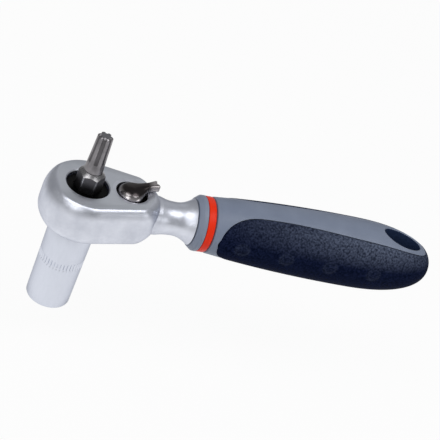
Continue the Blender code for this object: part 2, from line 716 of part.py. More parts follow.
def pawl_teeth():
    """The inner edge of the pawl's right-hand end as it lies in mesh, outermost point first."""
    points = []
    half_pitch = pi / TOOTH_COUNT
    first = round(PAWL_HALF_ANGLE / half_pitch)
    last = round((PAWL_HALF_ANGLE - PAWL_TOOTH_SPAN) / half_pitch)
    for step in range(first, last - 1, -1):
        clear = GEAR_TIP_RADIUS + PAWL_MESH_GAP
        radius = clear if step % 2 == 0 else clear - TOOTH_DEPTH
        points.append((radius * cos(step * half_pitch), -radius * sin(step * half_pitch)))
    return points


def pawl_outline():
    """The crescent in its middle position, about its own pivot: each end is turned back from its mesh."""
    turn_back = Matrix.Rotation(PAWL_ROCK, 2)
    pivot = Vector((PAWL_PIVOT, 0.0))
    low_end = [turn_back @ (Vector(point) - pivot) for point in pawl_teeth()]
    high_end = [Vector((point.x, -point.y)) for point in reversed(low_end)]
    relief = GEAR_TIP_RADIUS + PAWL_MESH_GAP + PAWL_RELIEF
    inner_half = PAWL_HALF_ANGLE - PAWL_TOOTH_SPAN - PAWL_RELIEF_ANGLE
    middle = [Vector(point) - pivot for point in arc(relief, -inner_half, inner_half, CURVE_STEPS)]
    outer = arc(PAWL_OUTER_RADIUS, PAWL_HALF_ANGLE, -PAWL_HALF_ANGLE, BORE_SIDES)
    back = [Vector(point) - pivot for point in outer]
    return [(point.x, point.y) for point in low_end + middle + high_end + back]


def build_pawl():
    pawl = prism("pawl", pawl_outline(), PAWL_BOTTOM, PAWL_TOP, PAWL_AXIS)
    notch_radius = PLUNGER_TIP + SEAT_GAP
    notch_bottom = PAWL_BOTTOM - SEAT_GAP
    notch_top = PAWL_TOP + SEAT_GAP
    notch = drum("pawl_notch", notch_radius, notch_bottom, notch_top, LEVER_AXIS, NECK_SIDES)
    cut(pawl, notch)
    return finish(pawl, TOOL_STEEL)


# Socket and bit


def build_socket():
    profile = [
        (0.0, SOCKET_LENGTH),
        (SOCKET_RADIUS - SOCKET_EDGE, SOCKET_LENGTH),
        (SOCKET_RADIUS, SOCKET_LENGTH - SOCKET_EDGE),
        (SOCKET_END_RADIUS, SOCKET_EDGE),
        (SOCKET_END_RADIUS - SOCKET_EDGE, 0.0),
        (0.0, 0.0),
    ]
    socket = turned("socket", profile, DRIVE_AXIS)
    side = SQUARE_SIDE + 2 * SOCKET_SQUARE_PLAY
    square_floor = SOCKET_LENGTH - SOCKET_SQUARE_DEPTH
    cut(socket, prism("socket_square", square(side), square_floor, SOCKET_LENGTH + SEAT_GAP, DRIVE_AXIS))
    cut(socket, prism("socket_hex", hexagon(SOCKET_ACROSS_FLATS), -SEAT_GAP, SOCKET_HEX_DEPTH, DRIVE_AXIS))
    bore_bottom = SOCKET_HEX_DEPTH - SEAT_GAP
    bore_top = square_floor + SEAT_GAP
    cut(socket, drum("socket_bore", SOCKET_BORE_RADIUS, bore_bottom, bore_top, DRIVE_AXIS, SMALL_SIDES))
    return finish(socket, CHROME)


def build_bit():
    shank_top = HEAD_TOP + BIT_SHANK_STANDOUT
    chamfer_top = shank_top + BIT_CHAMFER_HEIGHT
    bit = prism("bit", hexagon(BIT_ACROSS_FLATS, BIT_TURN), BIT_BOTTOM, chamfer_top, DRIVE_AXIS)
    corner = BIT_ACROSS_FLATS / sqrt(3)
    slope = (corner - BIT_SHAFT_RADIUS) / BIT_CHAMFER_HEIGHT
    end = SEAT_GAP
    envelope = [
        (0.0, chamfer_top + end),
        (BIT_SHAFT_RADIUS - slope * end, chamfer_top + end),
        (corner + slope * end, shank_top - end),
        (corner + slope * end, BIT_BOTTOM + end),
        (corner - end, BIT_BOTTOM - end),
        (0.0, BIT_BOTTOM - end),
    ]
    combine(bit, turned("shank_envelope", envelope, DRIVE_AXIS), "INTERSECT")
    flank = BIT_TIP - BIT_FLUTE_LENGTH
    shaft = [
        (0.0, BIT_TIP),
        (BIT_TIP_RADIUS - SEAT_GAP, BIT_TIP),
        (BIT_TIP_RADIUS, BIT_TIP - SEAT_GAP),
        (BIT_SHAFT_RADIUS - FACE_GAP, flank),
        (BIT_SHAFT_RADIUS - FACE_GAP, shank_top),
        (0.0, shank_top),
    ]
    join(bit, turned("bit_shaft", shaft, DRIVE_AXIS, SMALL_SIDES))
    for step in range(6):
        angle = BIT_TURN + radians(60) * step
        reach = BIT_FLUTE_REACH + BIT_FLUTE_RADIUS / 2
        flute = drum(f"bit_flute_{step}", BIT_FLUTE_RADIUS, flank, BIT_TIP + SEAT_GAP, DRIVE_AXIS, PIN_SIDES)
        flute.location = (reach * cos(angle), reach * sin(angle), 0.0)
        cut(bit, flute)
    return finish(bit, TOOL_STEEL)


# Grip


def grip_radius(x, inset):
    """Outer radius of the grip at a distance x from the drive axis, less an inset."""
    if x <= BELLY_X:
        share = max((x - CORE_START) / (BELLY_X - CORE_START), 0.0)
        return BELLY_RADIUS - (BELLY_RADIUS - GRIP_FRONT_RADIUS) * (1.0 - share) ** GRIP_SWELL_POWER - inset
    share = (x - BELLY_X) / (HANDLE_END - inset - BELLY_X)
    return (BELLY_RADIUS - inset) * max(1.0 - share**TAIL_POWER, 0.0) ** (1 / TAIL_POWER)


def grip_drop(x):
    """How far the grip's middle line lies below the handle's axis."""
    return GRIP_DROOP * (x - CORE_START) / (HANDLE_END - CORE_START)


def grip_bar(name, start, inset):
    """The grip's outer shape from start to its round tail, drawn in by inset."""
    end = HANDLE_END - inset
    places = [start + (BELLY_X - start) * step / GRIP_STEPS for step in range(GRIP_STEPS)]
    for step in range(GRIP_STEPS + 1):
        angle = TAIL_END_ANGLE * step / GRIP_STEPS
        places.append(BELLY_X + (end - BELLY_X) * sin(angle) ** (2 / TAIL_POWER))
    stations = [((x, 0.0, -grip_drop(x)), grip_radius(x, inset)) for x in places]
    stations.append(((end, 0.0, -grip_drop(end)), stations[-1][1] / 2))
    item = tube(name, stations, DRIVE_AXIS, GRIP_SIDES_LEVEL)
    item.location = (0.0, 0.0, HANDLE_Z)
    return item


def strip_half_width(x):
    """Half width of the hard strips along the grip's top and underside, which the soft sleeve leaves bare."""
    shoulder_end = SLEEVE_FRONT + STRIP_SHOULDER_LENGTH
    if x < shoulder_end:
        share = min((shoulder_end - x) / STRIP_SHOULDER_LENGTH, 1.0)
        return STRIP_HALF_WIDTH + STRIP_SHOULDER_RISE * (1 - (1 - share**2) ** STRIP_SHOULDER_POWER)
    if x <= STRIP_TAIL_X:
        share = max((x - STRIP_WIDENS_AT) / (STRIP_TAIL_X - STRIP_WIDENS_AT), 0.0)
        return STRIP_HALF_WIDTH + (STRIP_TAIL_HALF_WIDTH - STRIP_HALF_WIDTH) * share**2 * (3 - 2 * share)
    share = (x - STRIP_TAIL_X) / (STRIP_NOSE_X - STRIP_TAIL_X)
    return STRIP_TAIL_HALF_WIDTH * max(1 - share**STRIP_NOSE_POWER, 0.0) ** (1 / STRIP_NOSE_POWER)


def strip_block(name, margin):
    """The plan of the bare strips as a block right through the grip, grown by margin all round."""
    shoulder_end = SLEEVE_FRONT + STRIP_SHOULDER_LENGTH
    shares = [step / CURVE_STEPS for step in range(CURVE_STEPS)]
    places = [shoulder_end - STRIP_SHOULDER_LENGTH * cos(pi / 2 * share) for share in shares]
    places += [shoulder_end + (STRIP_TAIL_X - shoulder_end) * share for share in shares]
    places += [STRIP_TAIL_X + (STRIP_NOSE_X - STRIP_TAIL_X) * sin(pi / 2 * share) for share in shares]
    upper = [(x, strip_half_width(x) + margin) for x in places]
    upper += [(STRIP_NOSE_X + margin, margin)]
    front = [(CORE_START - ACCENT_LENGTH, STRIP_HALF_WIDTH + STRIP_SHOULDER_RISE + margin)]
    upper = front + upper
    outline = upper + [(x, -y) for x, y in reversed(upper)]
    return prism(name, outline, HANDLE_Z - 2 * BELLY_RADIUS, HANDLE_Z + 2 * BELLY_RADIUS, DRIVE_AXIS)


def hang_hole(name):
    outline = [
        (HANG_HOLE_X + HANG_HOLE_HALF_LENGTH * x, HANG_HOLE_HALF_WIDTH * y)
        for x, y in arc(1.0, 0.0, 2 * pi - 2 * pi / HOLE_SIDES, HOLE_SIDES - 1)
    ]
    return prism(name, outline, HANDLE_Z - 3 * BELLY_RADIUS, HANDLE_Z + 3 * BELLY_RADIUS, DRIVE_AXIS)


def build_collar_and_ring():
    profile = [
        (TANG_BORE_RADIUS, COLLAR_END),
        (COLLAR_REAR_RADIUS, COLLAR_END),
        (COLLAR_FRONT_RADIUS, COLLAR_START),
        (TANG_BORE_RADIUS, COLLAR_START),
    ]
    finish(turned("handle_collar", profile, HANDLE_AXIS, closed=True), GREY_PLASTIC)
    accent = ring("accent_ring", TANG_BORE_RADIUS, ACCENT_RADIUS, ACCENT_START, ACCENT_END, HANDLE_AXIS)
    finish(accent, RED_PLASTIC)


def build_grip_core():
    core = grip_bar("grip_core", CORE_START, 0.0)
    recess = grip_bar("sleeve_recess", SLEEVE_FRONT, -SLEEVE_THICKNESS)
    cut(recess, grip_bar("core_inner_bar", CORE_START, SLEEVE_THICKNESS), strip_block("strip", 0.0))
    cut(core, recess)
    tang_depth = TANG_END + SEAT_GAP
    cut(core, drum("tang_bore", TANG_BORE_RADIUS, CORE_START - SEAT_GAP, tang_depth, HANDLE_AXIS, NECK_SIDES))
    cut(core, hang_hole("core_hole"))
    return finish(core, GREY_PLASTIC)


def build_grip_sleeve():
    sleeve = grip_bar("grip_sleeve", SLEEVE_FRONT + SEAT_GAP, 0.0)
    cut(sleeve, grip_bar("sleeve_inside", CORE_START, SLEEVE_THICKNESS - SEAT_GAP))
    cut(sleeve, strip_block("sleeve_strip", SEAT_GAP), hang_hole("sleeve_hole"))
    return finish(sleeve, RUBBER)


build_ratchet_body()
build_drive_gear()
build_cover_parts()
build_dust_seal()
build_bit_magnet()
build_detent()
build_reversing_lever()
build_lever_inner_parts()
build_pawl()
build_socket()
build_bit()
build_collar_and_ring()
build_grip_core()
build_grip_sleeve()
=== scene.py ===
"""Dressed model of a stubby bit ratchet: chrome head and socket, black lever, two-part grip.

Metres, in the frame of the solids. Distances named "along" run from the drive axis down the handle.
"""

from math import acos, asin, atan2, cos, pi, radians, sin, sqrt

import bmesh
import bpy
from mathutils import Matrix, Vector


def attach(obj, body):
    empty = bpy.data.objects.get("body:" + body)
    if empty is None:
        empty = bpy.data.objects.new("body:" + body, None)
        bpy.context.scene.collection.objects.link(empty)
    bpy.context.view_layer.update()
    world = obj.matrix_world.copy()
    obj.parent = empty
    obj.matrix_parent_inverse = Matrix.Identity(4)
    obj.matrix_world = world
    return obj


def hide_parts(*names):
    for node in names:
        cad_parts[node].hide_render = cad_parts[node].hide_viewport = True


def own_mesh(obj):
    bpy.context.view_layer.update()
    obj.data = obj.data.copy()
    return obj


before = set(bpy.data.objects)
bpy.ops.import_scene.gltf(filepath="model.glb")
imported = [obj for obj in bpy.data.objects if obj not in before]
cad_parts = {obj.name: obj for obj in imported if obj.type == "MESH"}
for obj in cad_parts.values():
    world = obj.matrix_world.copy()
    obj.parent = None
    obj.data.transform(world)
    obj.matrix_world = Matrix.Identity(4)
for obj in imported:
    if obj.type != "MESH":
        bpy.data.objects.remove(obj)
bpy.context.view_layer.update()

# Places of the solids
DRIVE_X = -0.0443
HEAD_TOP = 0.0379
HEAD_BOTTOM = 0.0269
HANDLE_Z = 0.03165
LEVER_X = -0.0325
LEVER_REST = radians(21)

# Head and neck
HEAD_RADIUS = 0.0112
HEAD_CENTRE = 0.0004
NOSE_RADIUS = 0.0085
NOSE_OFFSET = 0.0121
NECK_WAIST = 0.025
NECK_RADIUS = 0.0044
NECK_ROOT = 0.0205
NECK_ROOT_RADIUS = 0.0049
ROOT_START = 0.0172
ROOT_END = 0.0236
ROOT_HALF_WIDTH = 0.0060
ROOT_HALF_HEIGHT = 0.0047
ROOT_LIFT = 0.0006
NECK_END = 0.0297
NECK_END_RADIUS = 0.0061
TANG_RADIUS = 0.0042
TANG_START = NECK_END - 0.002
TANG_END = 0.070
TOP_HOLE_RADIUS = 0.0057
HOLE_CHAMFER = 0.00025
LEVER_RECESS_RADIUS = 0.0043
LEVER_FLOOR = 0.0366

# Grip
COLLAR_START = 0.0300
COLLAR_END = 0.0322
COLLAR_FRONT_RADIUS = 0.0065
COLLAR_CHAMFER = 0.0012
COLLAR_RADIUS = 0.00745
RING_RADIUS = 0.0074
ACCENT_START = 0.03235
ACCENT_END = 0.03435
CORE_START = 0.03465
HANDLE_END = 0.0994
GRIP_FRONT_RADIUS = 0.0076
BELLY_RADIUS = 0.0095
BELLY_X = 0.0745
GRIP_SWELL_POWER = 2.1
TAIL_POWER = 2.45
GRIP_DROOP = 0.00115
SLEEVE_FRONT = 0.0363
SLEEVE_DEPTH = 0.0013
SLEEVE_LAP = 0.0002
SLEEVE_GAP = 0.00012
STRIP_SINK = 0.00012
HOLE_X = 0.0890
HOLE_HALF_LENGTH = 0.0059
HOLE_HALF_WIDTH = 0.0033

PARTS = bpy.context.scene.collection
ORIGIN = (0.0, 0.0, 0.0)
EVEN = (1.0, 1.0, 1.0)

# Points nearer than MERGE are one, and points within SEAM of the middle plane lie on it
MERGE = 0.0000005
SEAM = 0.000001

# How far a cutter reaches past the surface that it opens, and how near a face counts as on a surface
CLEAR = 0.001
NEAR = 0.0001
TOUCH = 0.00001


# Mesh tools


def close_up(shell):
    """Merges the points of a shape, drops its loose edges and turns its faces outwards."""
    bmesh.ops.remove_doubles(shell, verts=shell.verts, dist=MERGE)
    loose = [edge for edge in shell.edges if not edge.link_faces]
    bmesh.ops.delete(shell, geom=loose, context="EDGES")
    bmesh.ops.recalc_face_normals(shell, faces=shell.faces)
    return shell


def moved(shell, matrix):
    bmesh.ops.transform(shell, matrix=matrix, verts=shell.verts)
    return shell


def on_drive(shell):
    return moved(shell, Matrix.Translation((DRIVE_X, 0.0, 0.0)))


def on_lever(shell):
    return moved(shell, Matrix.Translation((LEVER_X, 0.0, 0.0)) @ Matrix.Rotation(LEVER_REST, 4, "Z"))


def on_handle(shell):
    """Lays a shape that stands on Z along the handle."""
    return moved(shell, Matrix.Translation((DRIVE_X, 0.0, HANDLE_Z)) @ Matrix.Rotation(pi / 2, 4, "Y"))


def spun(shell, shape, angle, steps, merge):
    """Sweeps a part of a shape about Z."""
    bmesh.ops.spin(
        shell,
        geom=shape,
        cent=ORIGIN,
        axis=(0.0, 0.0, 1.0),
        dvec=ORIGIN,
        angle=angle,
        steps=steps,
        use_merge=merge,
    )
    return close_up(shell)


def turned(profile, steps, closed=False):
    """A shape turned about Z from its profile of (radius, height)."""
    shell = bmesh.new()
    points = [shell.verts.new((radius, 0.0, height)) for radius, height in profile]
    lines = [shell.edges.new(pair) for pair in zip(points, points[1:])]
    if closed:
        lines.append(shell.edges.new((points[-1], points[0])))
    return spun(shell, points + lines, 2 * pi, steps, True)


def plug(radius, bottom, top, steps):
    return turned([(0.0, bottom), (radius, bottom), (radius, top), (0.0, top)], steps)


def prism(outline, bottom, top):
    """A flat outline raised from bottom to top."""
    shell = bmesh.new()
    face = shell.faces.new([shell.verts.new((x, y, bottom)) for x, y in outline])
    grown = bmesh.ops.extrude_face_region(shell, geom=[face])["geom"]
    upper = [item for item in grown if isinstance(item, bmesh.types.BMVert)]
    bmesh.ops.translate(shell, verts=upper, vec=(0.0, 0.0, top - bottom))
    return close_up(shell)


def regular(sides, across_flats, turn):
    radius = across_flats / 2 / cos(pi / sides)
    turns = [turn + 2 * pi * step / sides for step in range(sides)]
    return [(radius * cos(corner), radius * sin(corner)) for corner in turns]


def soften(shell, width, angle=radians(30), segments=3):
    """Rounds every edge that turns by more than the angle."""
    sharp = [edge for edge in shell.edges if edge.is_manifold and edge.calc_face_angle() > angle]
    bmesh.ops.bevel(
        shell,
        geom=sharp,
        offset=width,
        offset_type="OFFSET",
        affect="EDGES",
        segments=segments,
        profile=0.5,
        material=-1,
        clamp_overlap=True,
    )
    return shell


def held(name, shell):
    """An object that holds a shape."""
    mesh = bpy.data.meshes.new(name)
    shell.to_mesh(mesh)
    shell.free()
    item = bpy.data.objects.new(name, mesh)
    PARTS.objects.link(item)
    return item


def settled(item, others=()):
    """Takes a held object's modifiers as a new shape, and clears it away."""
    bpy.context.view_layer.update()
    graph = bpy.context.evaluated_depsgraph_get()
    mesh = bpy.data.meshes.new_from_object(item.evaluated_get(graph))
    shell = bmesh.new()
    shell.from_mesh(mesh)
    bpy.data.meshes.remove(mesh)
    for old in (item, *others):
        old_mesh = old.data
        bpy.data.objects.remove(old, do_unlink=True)
        bpy.data.meshes.remove(old_mesh)
    return shell


def combined(shell, tool, operation):
    base = held("base_shape", shell)
    other = held("tool_shape", tool)
    step = base.modifiers.new("combine", "BOOLEAN")
    step.operation = operation
    step.solver = "EXACT"
    step.object = other
    return settled(base, (other,))


def cut(shell, *tools):
    for tool in tools:
        shell = combined(shell, tool, "DIFFERENCE")
    return shell


def joined(shell, *tools):
    for tool in tools:
        shell = combined(shell, tool, "UNION")
    return shell


def melted(shell, voxel, passes):
    """Runs the joints of a shape into each other, as in a forging."""
    item = held("melting_shape", shell)
    step = item.modifiers.new("melt", "REMESH")
    step.mode = "VOXEL"
    step.voxel_size = voxel
    shell = settled(item)
    axes = {"use_axis_x": True, "use_axis_y": True, "use_axis_z": True}
    for _ in range(passes):
        bmesh.ops.smooth_vert(shell, verts=shell.verts, factor=0.5, **axes)
    return shell


def mapped_grid(columns, rows, place):
    """A grid whose points are put where place(column, row) says."""
    shell = bmesh.new()
    bmesh.ops.create_grid(shell, x_segments=columns, y_segments=rows, size=0.5)
    for vert in shell.verts:
        column = round((vert.co.x + 0.5) * columns)
        row = round((vert.co.y + 0.5) * rows)
        vert.co = place(column, row)
    return shell


def capped(shell):
    """Closes a tube made from a grid: its seam and both its ends."""
    close_up(shell)
    rim = [edge for edge in shell.edges if edge.is_boundary]
    bmesh.ops.holes_fill(shell, edges=rim, sides=0)
    bmesh.ops.recalc_face_normals(shell, faces=shell.faces)
    return shell


def piece(name, shell, finishes, body, nodes, angle=radians(35)):
    """Makes a shape a finished piece of the model."""
    bmesh.ops.remove_doubles(shell, verts=shell.verts, dist=MERGE)
    item = held(name, shell)
    for finish in finishes:
        item.data.materials.append(finish)
    item.data.shade_smooth()
    item.data.set_sharp_from_angle(angle=angle)
    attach(item, body)
    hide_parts(*nodes)
    return item


# Finishes


# The middle range of a noise pattern, and a narrower one for the rubber's grain
NOISE_LOW = 0.3
NOISE_HIGH = 0.7
GRAIN_LOW = 0.34
GRAIN_HIGH = 0.66
DRIFT_DETAIL = 2.0
PLASTIC_MOTTLE = 220.0

# How strongly fine marks are pressed into each kind of surface
METAL_MARKS = 0.25
PLASTIC_MARKS = 0.3
RUBBER_MARKS = 0.5
RUBBER_SMOOTH = 0.50
RUBBER_ROUGH = 0.70


def shader_of(material):
    return material.node_tree.nodes["Principled BSDF"]


def filled(node, values):
    """Sets the plain inputs of a node."""
    for name, value in values.items():
        node.inputs[name].default_value = value
    return node


def new_finish(name, colour, roughness, metallic, specular=0.5):
    """A principled finish with its node tree ready for detail."""
    material = bpy.data.materials.new(name)
    material.use_nodes = True
    values = {"Base Color": (*colour, 1.0), "Roughness": roughness, "Metallic": metallic}
    filled(shader_of(material), {**values, "Specular IOR Level": specular})
    return material


def own_place(material):
    return material.node_tree.nodes.new("ShaderNodeTexCoord").outputs["Object"]


def own_axes(material):
    tree = material.node_tree
    split = tree.nodes.new("ShaderNodeSeparateXYZ")
    tree.links.new(own_place(material), split.inputs["Vector"])
    return split.outputs


def reckoned(material, operation, first, second):
    tree = material.node_tree
    node = tree.nodes.new("ShaderNodeMath")
    node.operation = operation
    tree.links.new(first, node.inputs[0])
    tree.links.new(second, node.inputs[1])
    return node.outputs["Value"]


def pattern(material, scale, stretch=EVEN, detail=3.0):
    """A noise pattern on the piece's own coordinates. Gives its output socket."""
    tree = material.node_tree
    turn = filled(tree.nodes.new("ShaderNodeMapping"), {"Scale": stretch})
    tree.links.new(own_place(material), turn.inputs["Vector"])
    texture = filled(tree.nodes.new("ShaderNodeTexNoise"), {"Detail": detail, "Scale": scale})
    tree.links.new(turn.outputs["Vector"], texture.inputs["Vector"])
    return texture.outputs["Fac"]


def ranged(material, source, low, high, bottom=NOISE_LOW, top=NOISE_HIGH):
    """Runs a value between two others."""
    tree = material.node_tree
    node = tree.nodes.new("ShaderNodeMapRange")
    filled(node, {"From Min": bottom, "From Max": top, "To Min": low, "To Max": high})
    tree.links.new(source, node.inputs["Value"])
    return node.outputs["Result"]


def tinted(material, source, dark, light, bottom=NOISE_LOW, top=NOISE_HIGH):
    """Runs a pattern between two colours into the base colour."""
    tree = material.node_tree
    ramp = tree.nodes.new("ShaderNodeValToRGB")
    ramp.color_ramp.elements[0].position = bottom
    ramp.color_ramp.elements[0].color = (*dark, 1.0)
    ramp.color_ramp.elements[1].position = top
    ramp.color_ramp.elements[1].color = (*light, 1.0)
    tree.links.new(source, ramp.inputs["Fac"])
    tree.links.new(ramp.outputs["Color"], shader_of(material).inputs["Base Color"])
    return ramp.outputs["Color"]


def marked(material, marks, smooth, rough, strength, dent):
    """Lets fine marks show in the roughness and in the surface."""
    tree = material.node_tree
    shader = shader_of(material)
    tree.links.new(ranged(material, marks, smooth, rough), shader.inputs["Roughness"])
    bump = filled(tree.nodes.new("ShaderNodeBump"), {"Strength": strength, "Distance": dent})
    tree.links.new(marks, bump.inputs["Height"])
    tree.links.new(bump.outputs["Normal"], shader.inputs["Normal"])


def laid_over(material, share, under, over):
    """Runs the base colour from one colour to another by a share."""
    tree = material.node_tree
    mix = tree.nodes.new("ShaderNodeMix")
    mix.data_type = "RGBA"
    tree.links.new(share, mix.inputs["Factor"])
    tree.links.new(under, mix.inputs["A"])
    tree.links.new(over, mix.inputs["B"])
    tree.links.new(mix.outputs["Result"], shader_of(material).inputs["Base Color"])


def metal(name, dark, light, smooth, rough, scale=2600.0, stretch=EVEN, dent=0.00001, mottle=60.0):
    """Bare metal: slow colour drift, fine tool marks in roughness and surface."""
    material = new_finish(name, light, rough, 1.0)
    tinted(material, pattern(material, mottle, detail=DRIFT_DETAIL), dark, light)
    marked(material, pattern(material, scale, stretch), smooth, rough, METAL_MARKS, dent)
    return material


def edge_dimmed(material, tint):
    """Dims a metal where it turns away from the eye, as brushed plating does."""
    filled(shader_of(material), {"Specular Tint": (*tint, 1.0)})


def painted_bore_shade(material, low, high, share):
    """Painted shade: darkens a finish above a height, where the shadow in a bore keeps it black."""
    tree = material.node_tree
    colour = shader_of(material).inputs["Base Color"]
    scaled = tree.nodes.new("ShaderNodeVectorMath")
    scaled.operation = "SCALE"
    tree.links.new(colour.links[0].from_socket, scaled.inputs["Vector"])
    tree.links.new(ranged(material, own_axes(material)["Z"], 1.0, share, low, high), scaled.inputs["Scale"])
    tree.links.new(scaled.outputs["Vector"], colour)


def painted_lever_highlight(material, pale, low, high, near, far, far_share):
    """Painted highlight: lets a paler metal show below a height, and beyond a place towards the handle, for
    the light that the lever's rim and arm reflect.
    """
    axes = own_axes(material)
    below = ranged(material, axes["Z"], 1.0, 0.0, low, high)
    beyond = ranged(material, axes["X"], 0.0, far_share, near, far)
    # The paler colour laid over the plating is painted highlight
    bare = material.node_tree.nodes.new("ShaderNodeRGB").outputs["Color"]
    bare.default_value = (*pale, 1.0)
    coat = shader_of(material).inputs["Base Color"].links[0].from_socket
    laid_over(material, reckoned(material, "MAXIMUM", below, beyond), coat, bare)


def plastic(name, dark, light, smooth, rough, scale, dent, specular=0.5):
    """Moulded plastic: fine spark grain, and a faint drift of colour."""
    material = new_finish(name, light, rough, 0.0, specular)
    tinted(material, pattern(material, PLASTIC_MOTTLE, detail=DRIFT_DETAIL), dark, light)
    marked(material, pattern(material, scale), smooth, rough, PLASTIC_MARKS, dent)
    return material


def rubber(name, dark, light, scale, dent, specular=0.05):
    """Soft moulded rubber with a pebbled skin."""
    material = new_finish(name, light, (RUBBER_SMOOTH + RUBBER_ROUGH) / 2, 0.0, specular)
    grain = pattern(material, scale, detail=DRIFT_DETAIL)
    tinted(material, grain, dark, light, GRAIN_LOW, GRAIN_HIGH)
    marked(material, grain, RUBBER_SMOOTH, RUBBER_ROUGH, RUBBER_MARKS, dent)
    return material


# The painted sheen on the rubber's shoulder, by height and along the grip
SHEEN_LOW = 0.0325
SHEEN_PEAK = 0.0385
SHEEN_HIGH = 0.0420
SHEEN_TOP_SHARE = 0.35
SHEEN_FRONT = -0.006
SHEEN_BACK = 0.036
SHEEN_FRONT_SHARE = 0.12

# The low pads, and the paler discs painted on them as highlight, palest at their rims
PAD_PLACES = (0.0429, 0.0553, 0.0678, 0.0806)
PAD_HEIGHT = 0.0315
PAD_HIGHLIGHT_INNER = 0.0009
PAD_HIGHLIGHT_RIM = 0.0017
PAD_HIGHLIGHT_OUTER = 0.0024
PAD_HIGHLIGHT_MIDDLE_SHARE = 0.07
PAD_HIGHLIGHT_RIM_SHARE = 0.16


def pad_distance(material):
    """How far a point of the sleeve is from the nearest pad's middle, seen from the side."""
    tree = material.node_tree
    flat = tree.nodes.new("ShaderNodeVectorMath")
    flat.operation = "MULTIPLY"
    flat.inputs[1].default_value = (1.0, 0.0, 1.0)
    tree.links.new(own_place(material), flat.inputs[0])
    nearest = None
    for place in PAD_PLACES:
        gap = tree.nodes.new("ShaderNodeVectorMath")
        gap.operation = "DISTANCE"
        gap.inputs[1].default_value = (DRIVE_X + place, 0.0, PAD_HEIGHT)
        tree.links.new(flat.outputs["Vector"], gap.inputs[0])
        distance = gap.outputs["Value"]
        nearest = distance if nearest is None else reckoned(material, "MINIMUM", nearest, distance)
    return nearest


def grip_rubber(name, dark, light, sheen_dark, sheen_light, scale, dent, specular):
    """The sleeve's rubber, with painted sheen: a paler band along the shoulder, and paler rims around the
    pads as painted highlight.
    """
    material = rubber(name, dark, light, scale, dent, specular)
    ramp = next(node for node in material.node_tree.nodes if node.type == "VALTORGB")
    grain = ramp.inputs["Fac"].links[0].from_socket
    pale = tinted(material, grain, sheen_dark, sheen_light, GRAIN_LOW, GRAIN_HIGH)
    axes = own_axes(material)
    rise = ranged(material, axes["Z"], 0.0, 1.0, SHEEN_LOW, SHEEN_PEAK)
    fall = ranged(material, axes["Z"], 1.0, SHEEN_TOP_SHARE, SHEEN_PEAK, SHEEN_HIGH)
    along = ranged(material, axes["X"], SHEEN_FRONT_SHARE, 1.0, SHEEN_FRONT, SHEEN_BACK)
    # Painted sheen: paler towards the shoulder's middle height and towards the grip's end
    painted_sheen = reckoned(material, "MULTIPLY", reckoned(material, "MULTIPLY", rise, fall), along)
    # Painted highlight: the pads turn paler, most of all at their rims
    distance = pad_distance(material)
    inside = ranged(material, distance, PAD_HIGHLIGHT_MIDDLE_SHARE, PAD_HIGHLIGHT_RIM_SHARE, PAD_HIGHLIGHT_INNER, PAD_HIGHLIGHT_RIM)
    outside = ranged(material, distance, 1.0, 0.0, PAD_HIGHLIGHT_RIM, PAD_HIGHLIGHT_OUTER)
    marks = reckoned(material, "MULTIPLY", inside, outside)
    laid_over(material, reckoned(material, "MAXIMUM", painted_sheen, marks), ramp.outputs["Color"], pale)
    return material


# Where painted shade darkens the gear's bore, and where painted highlight makes the lever's rim and arm paler
BORE_SHADE_LOW = HEAD_BOTTOM + 0.0005
BORE_SHADE_HIGH = HEAD_BOTTOM + 0.0030
BORE_SHADE_SHARE = 0.03
LEVER_HIGHLIGHT_LOW = 0.0376
LEVER_HIGHLIGHT_HIGH = 0.0388
LEVER_HIGHLIGHT_NEAR = LEVER_X + 0.0040
LEVER_HIGHLIGHT_FAR = LEVER_X + 0.0056
LEVER_HIGHLIGHT_FAR_SHARE = 0.45

CHROME = metal(
    "satin_chrome", (0.65, 0.675, 0.755), (0.77, 0.795, 0.875), 0.34, 0.48, 1800.0, EVEN, 0.00003, 240.0
)
edge_dimmed(CHROME, (0.62, 0.63, 0.66))
GROUND_TOP = metal(
    "ground_chrome", (0.62, 0.65, 0.715), (0.70, 0.73, 0.795), 0.32, 0.46, stretch=(0.12, 1.0, 1.0)
)
SOCKET_CHROME = metal(
    "socket_chrome", (0.66, 0.69, 0.775), (0.71, 0.74, 0.825), 0.28, 0.36, 1500.0, (1.0, 1.0, 0.2), 0.000003
)
edge_dimmed(SOCKET_CHROME, (0.56, 0.57, 0.60))
NICKEL = metal(
    "black_nickel", (0.028, 0.024, 0.0245), (0.055, 0.048, 0.049), 0.17, 0.23, 2400.0, EVEN, 0.000003
)
# Painted highlight: the lever's lower rim and its arm are paler
painted_lever_highlight(NICKEL, (0.76, 0.72, 0.73), LEVER_HIGHLIGHT_LOW, LEVER_HIGHLIGHT_HIGH, LEVER_HIGHLIGHT_NEAR, LEVER_HIGHLIGHT_FAR, LEVER_HIGHLIGHT_FAR_SHARE)
# Painted shade: a near-black finish for the floor of the lever's recess
RECESS_SHADE = metal("black_oxide", (0.0008, 0.0008, 0.0010), (0.0018, 0.0018, 0.0022), 0.45, 0.60, 3000.0)
GEAR_OXIDE_AND_SHADE = metal("gear_oxide_and_painted_shade", (0.030, 0.030, 0.035), (0.055, 0.055, 0.062), 0.34, 0.48, 3000.0)
# Painted shade: the gear turns nearly black above the head's underside, inside the bore
painted_bore_shade(GEAR_OXIDE_AND_SHADE, BORE_SHADE_LOW, BORE_SHADE_HIGH, BORE_SHADE_SHARE)
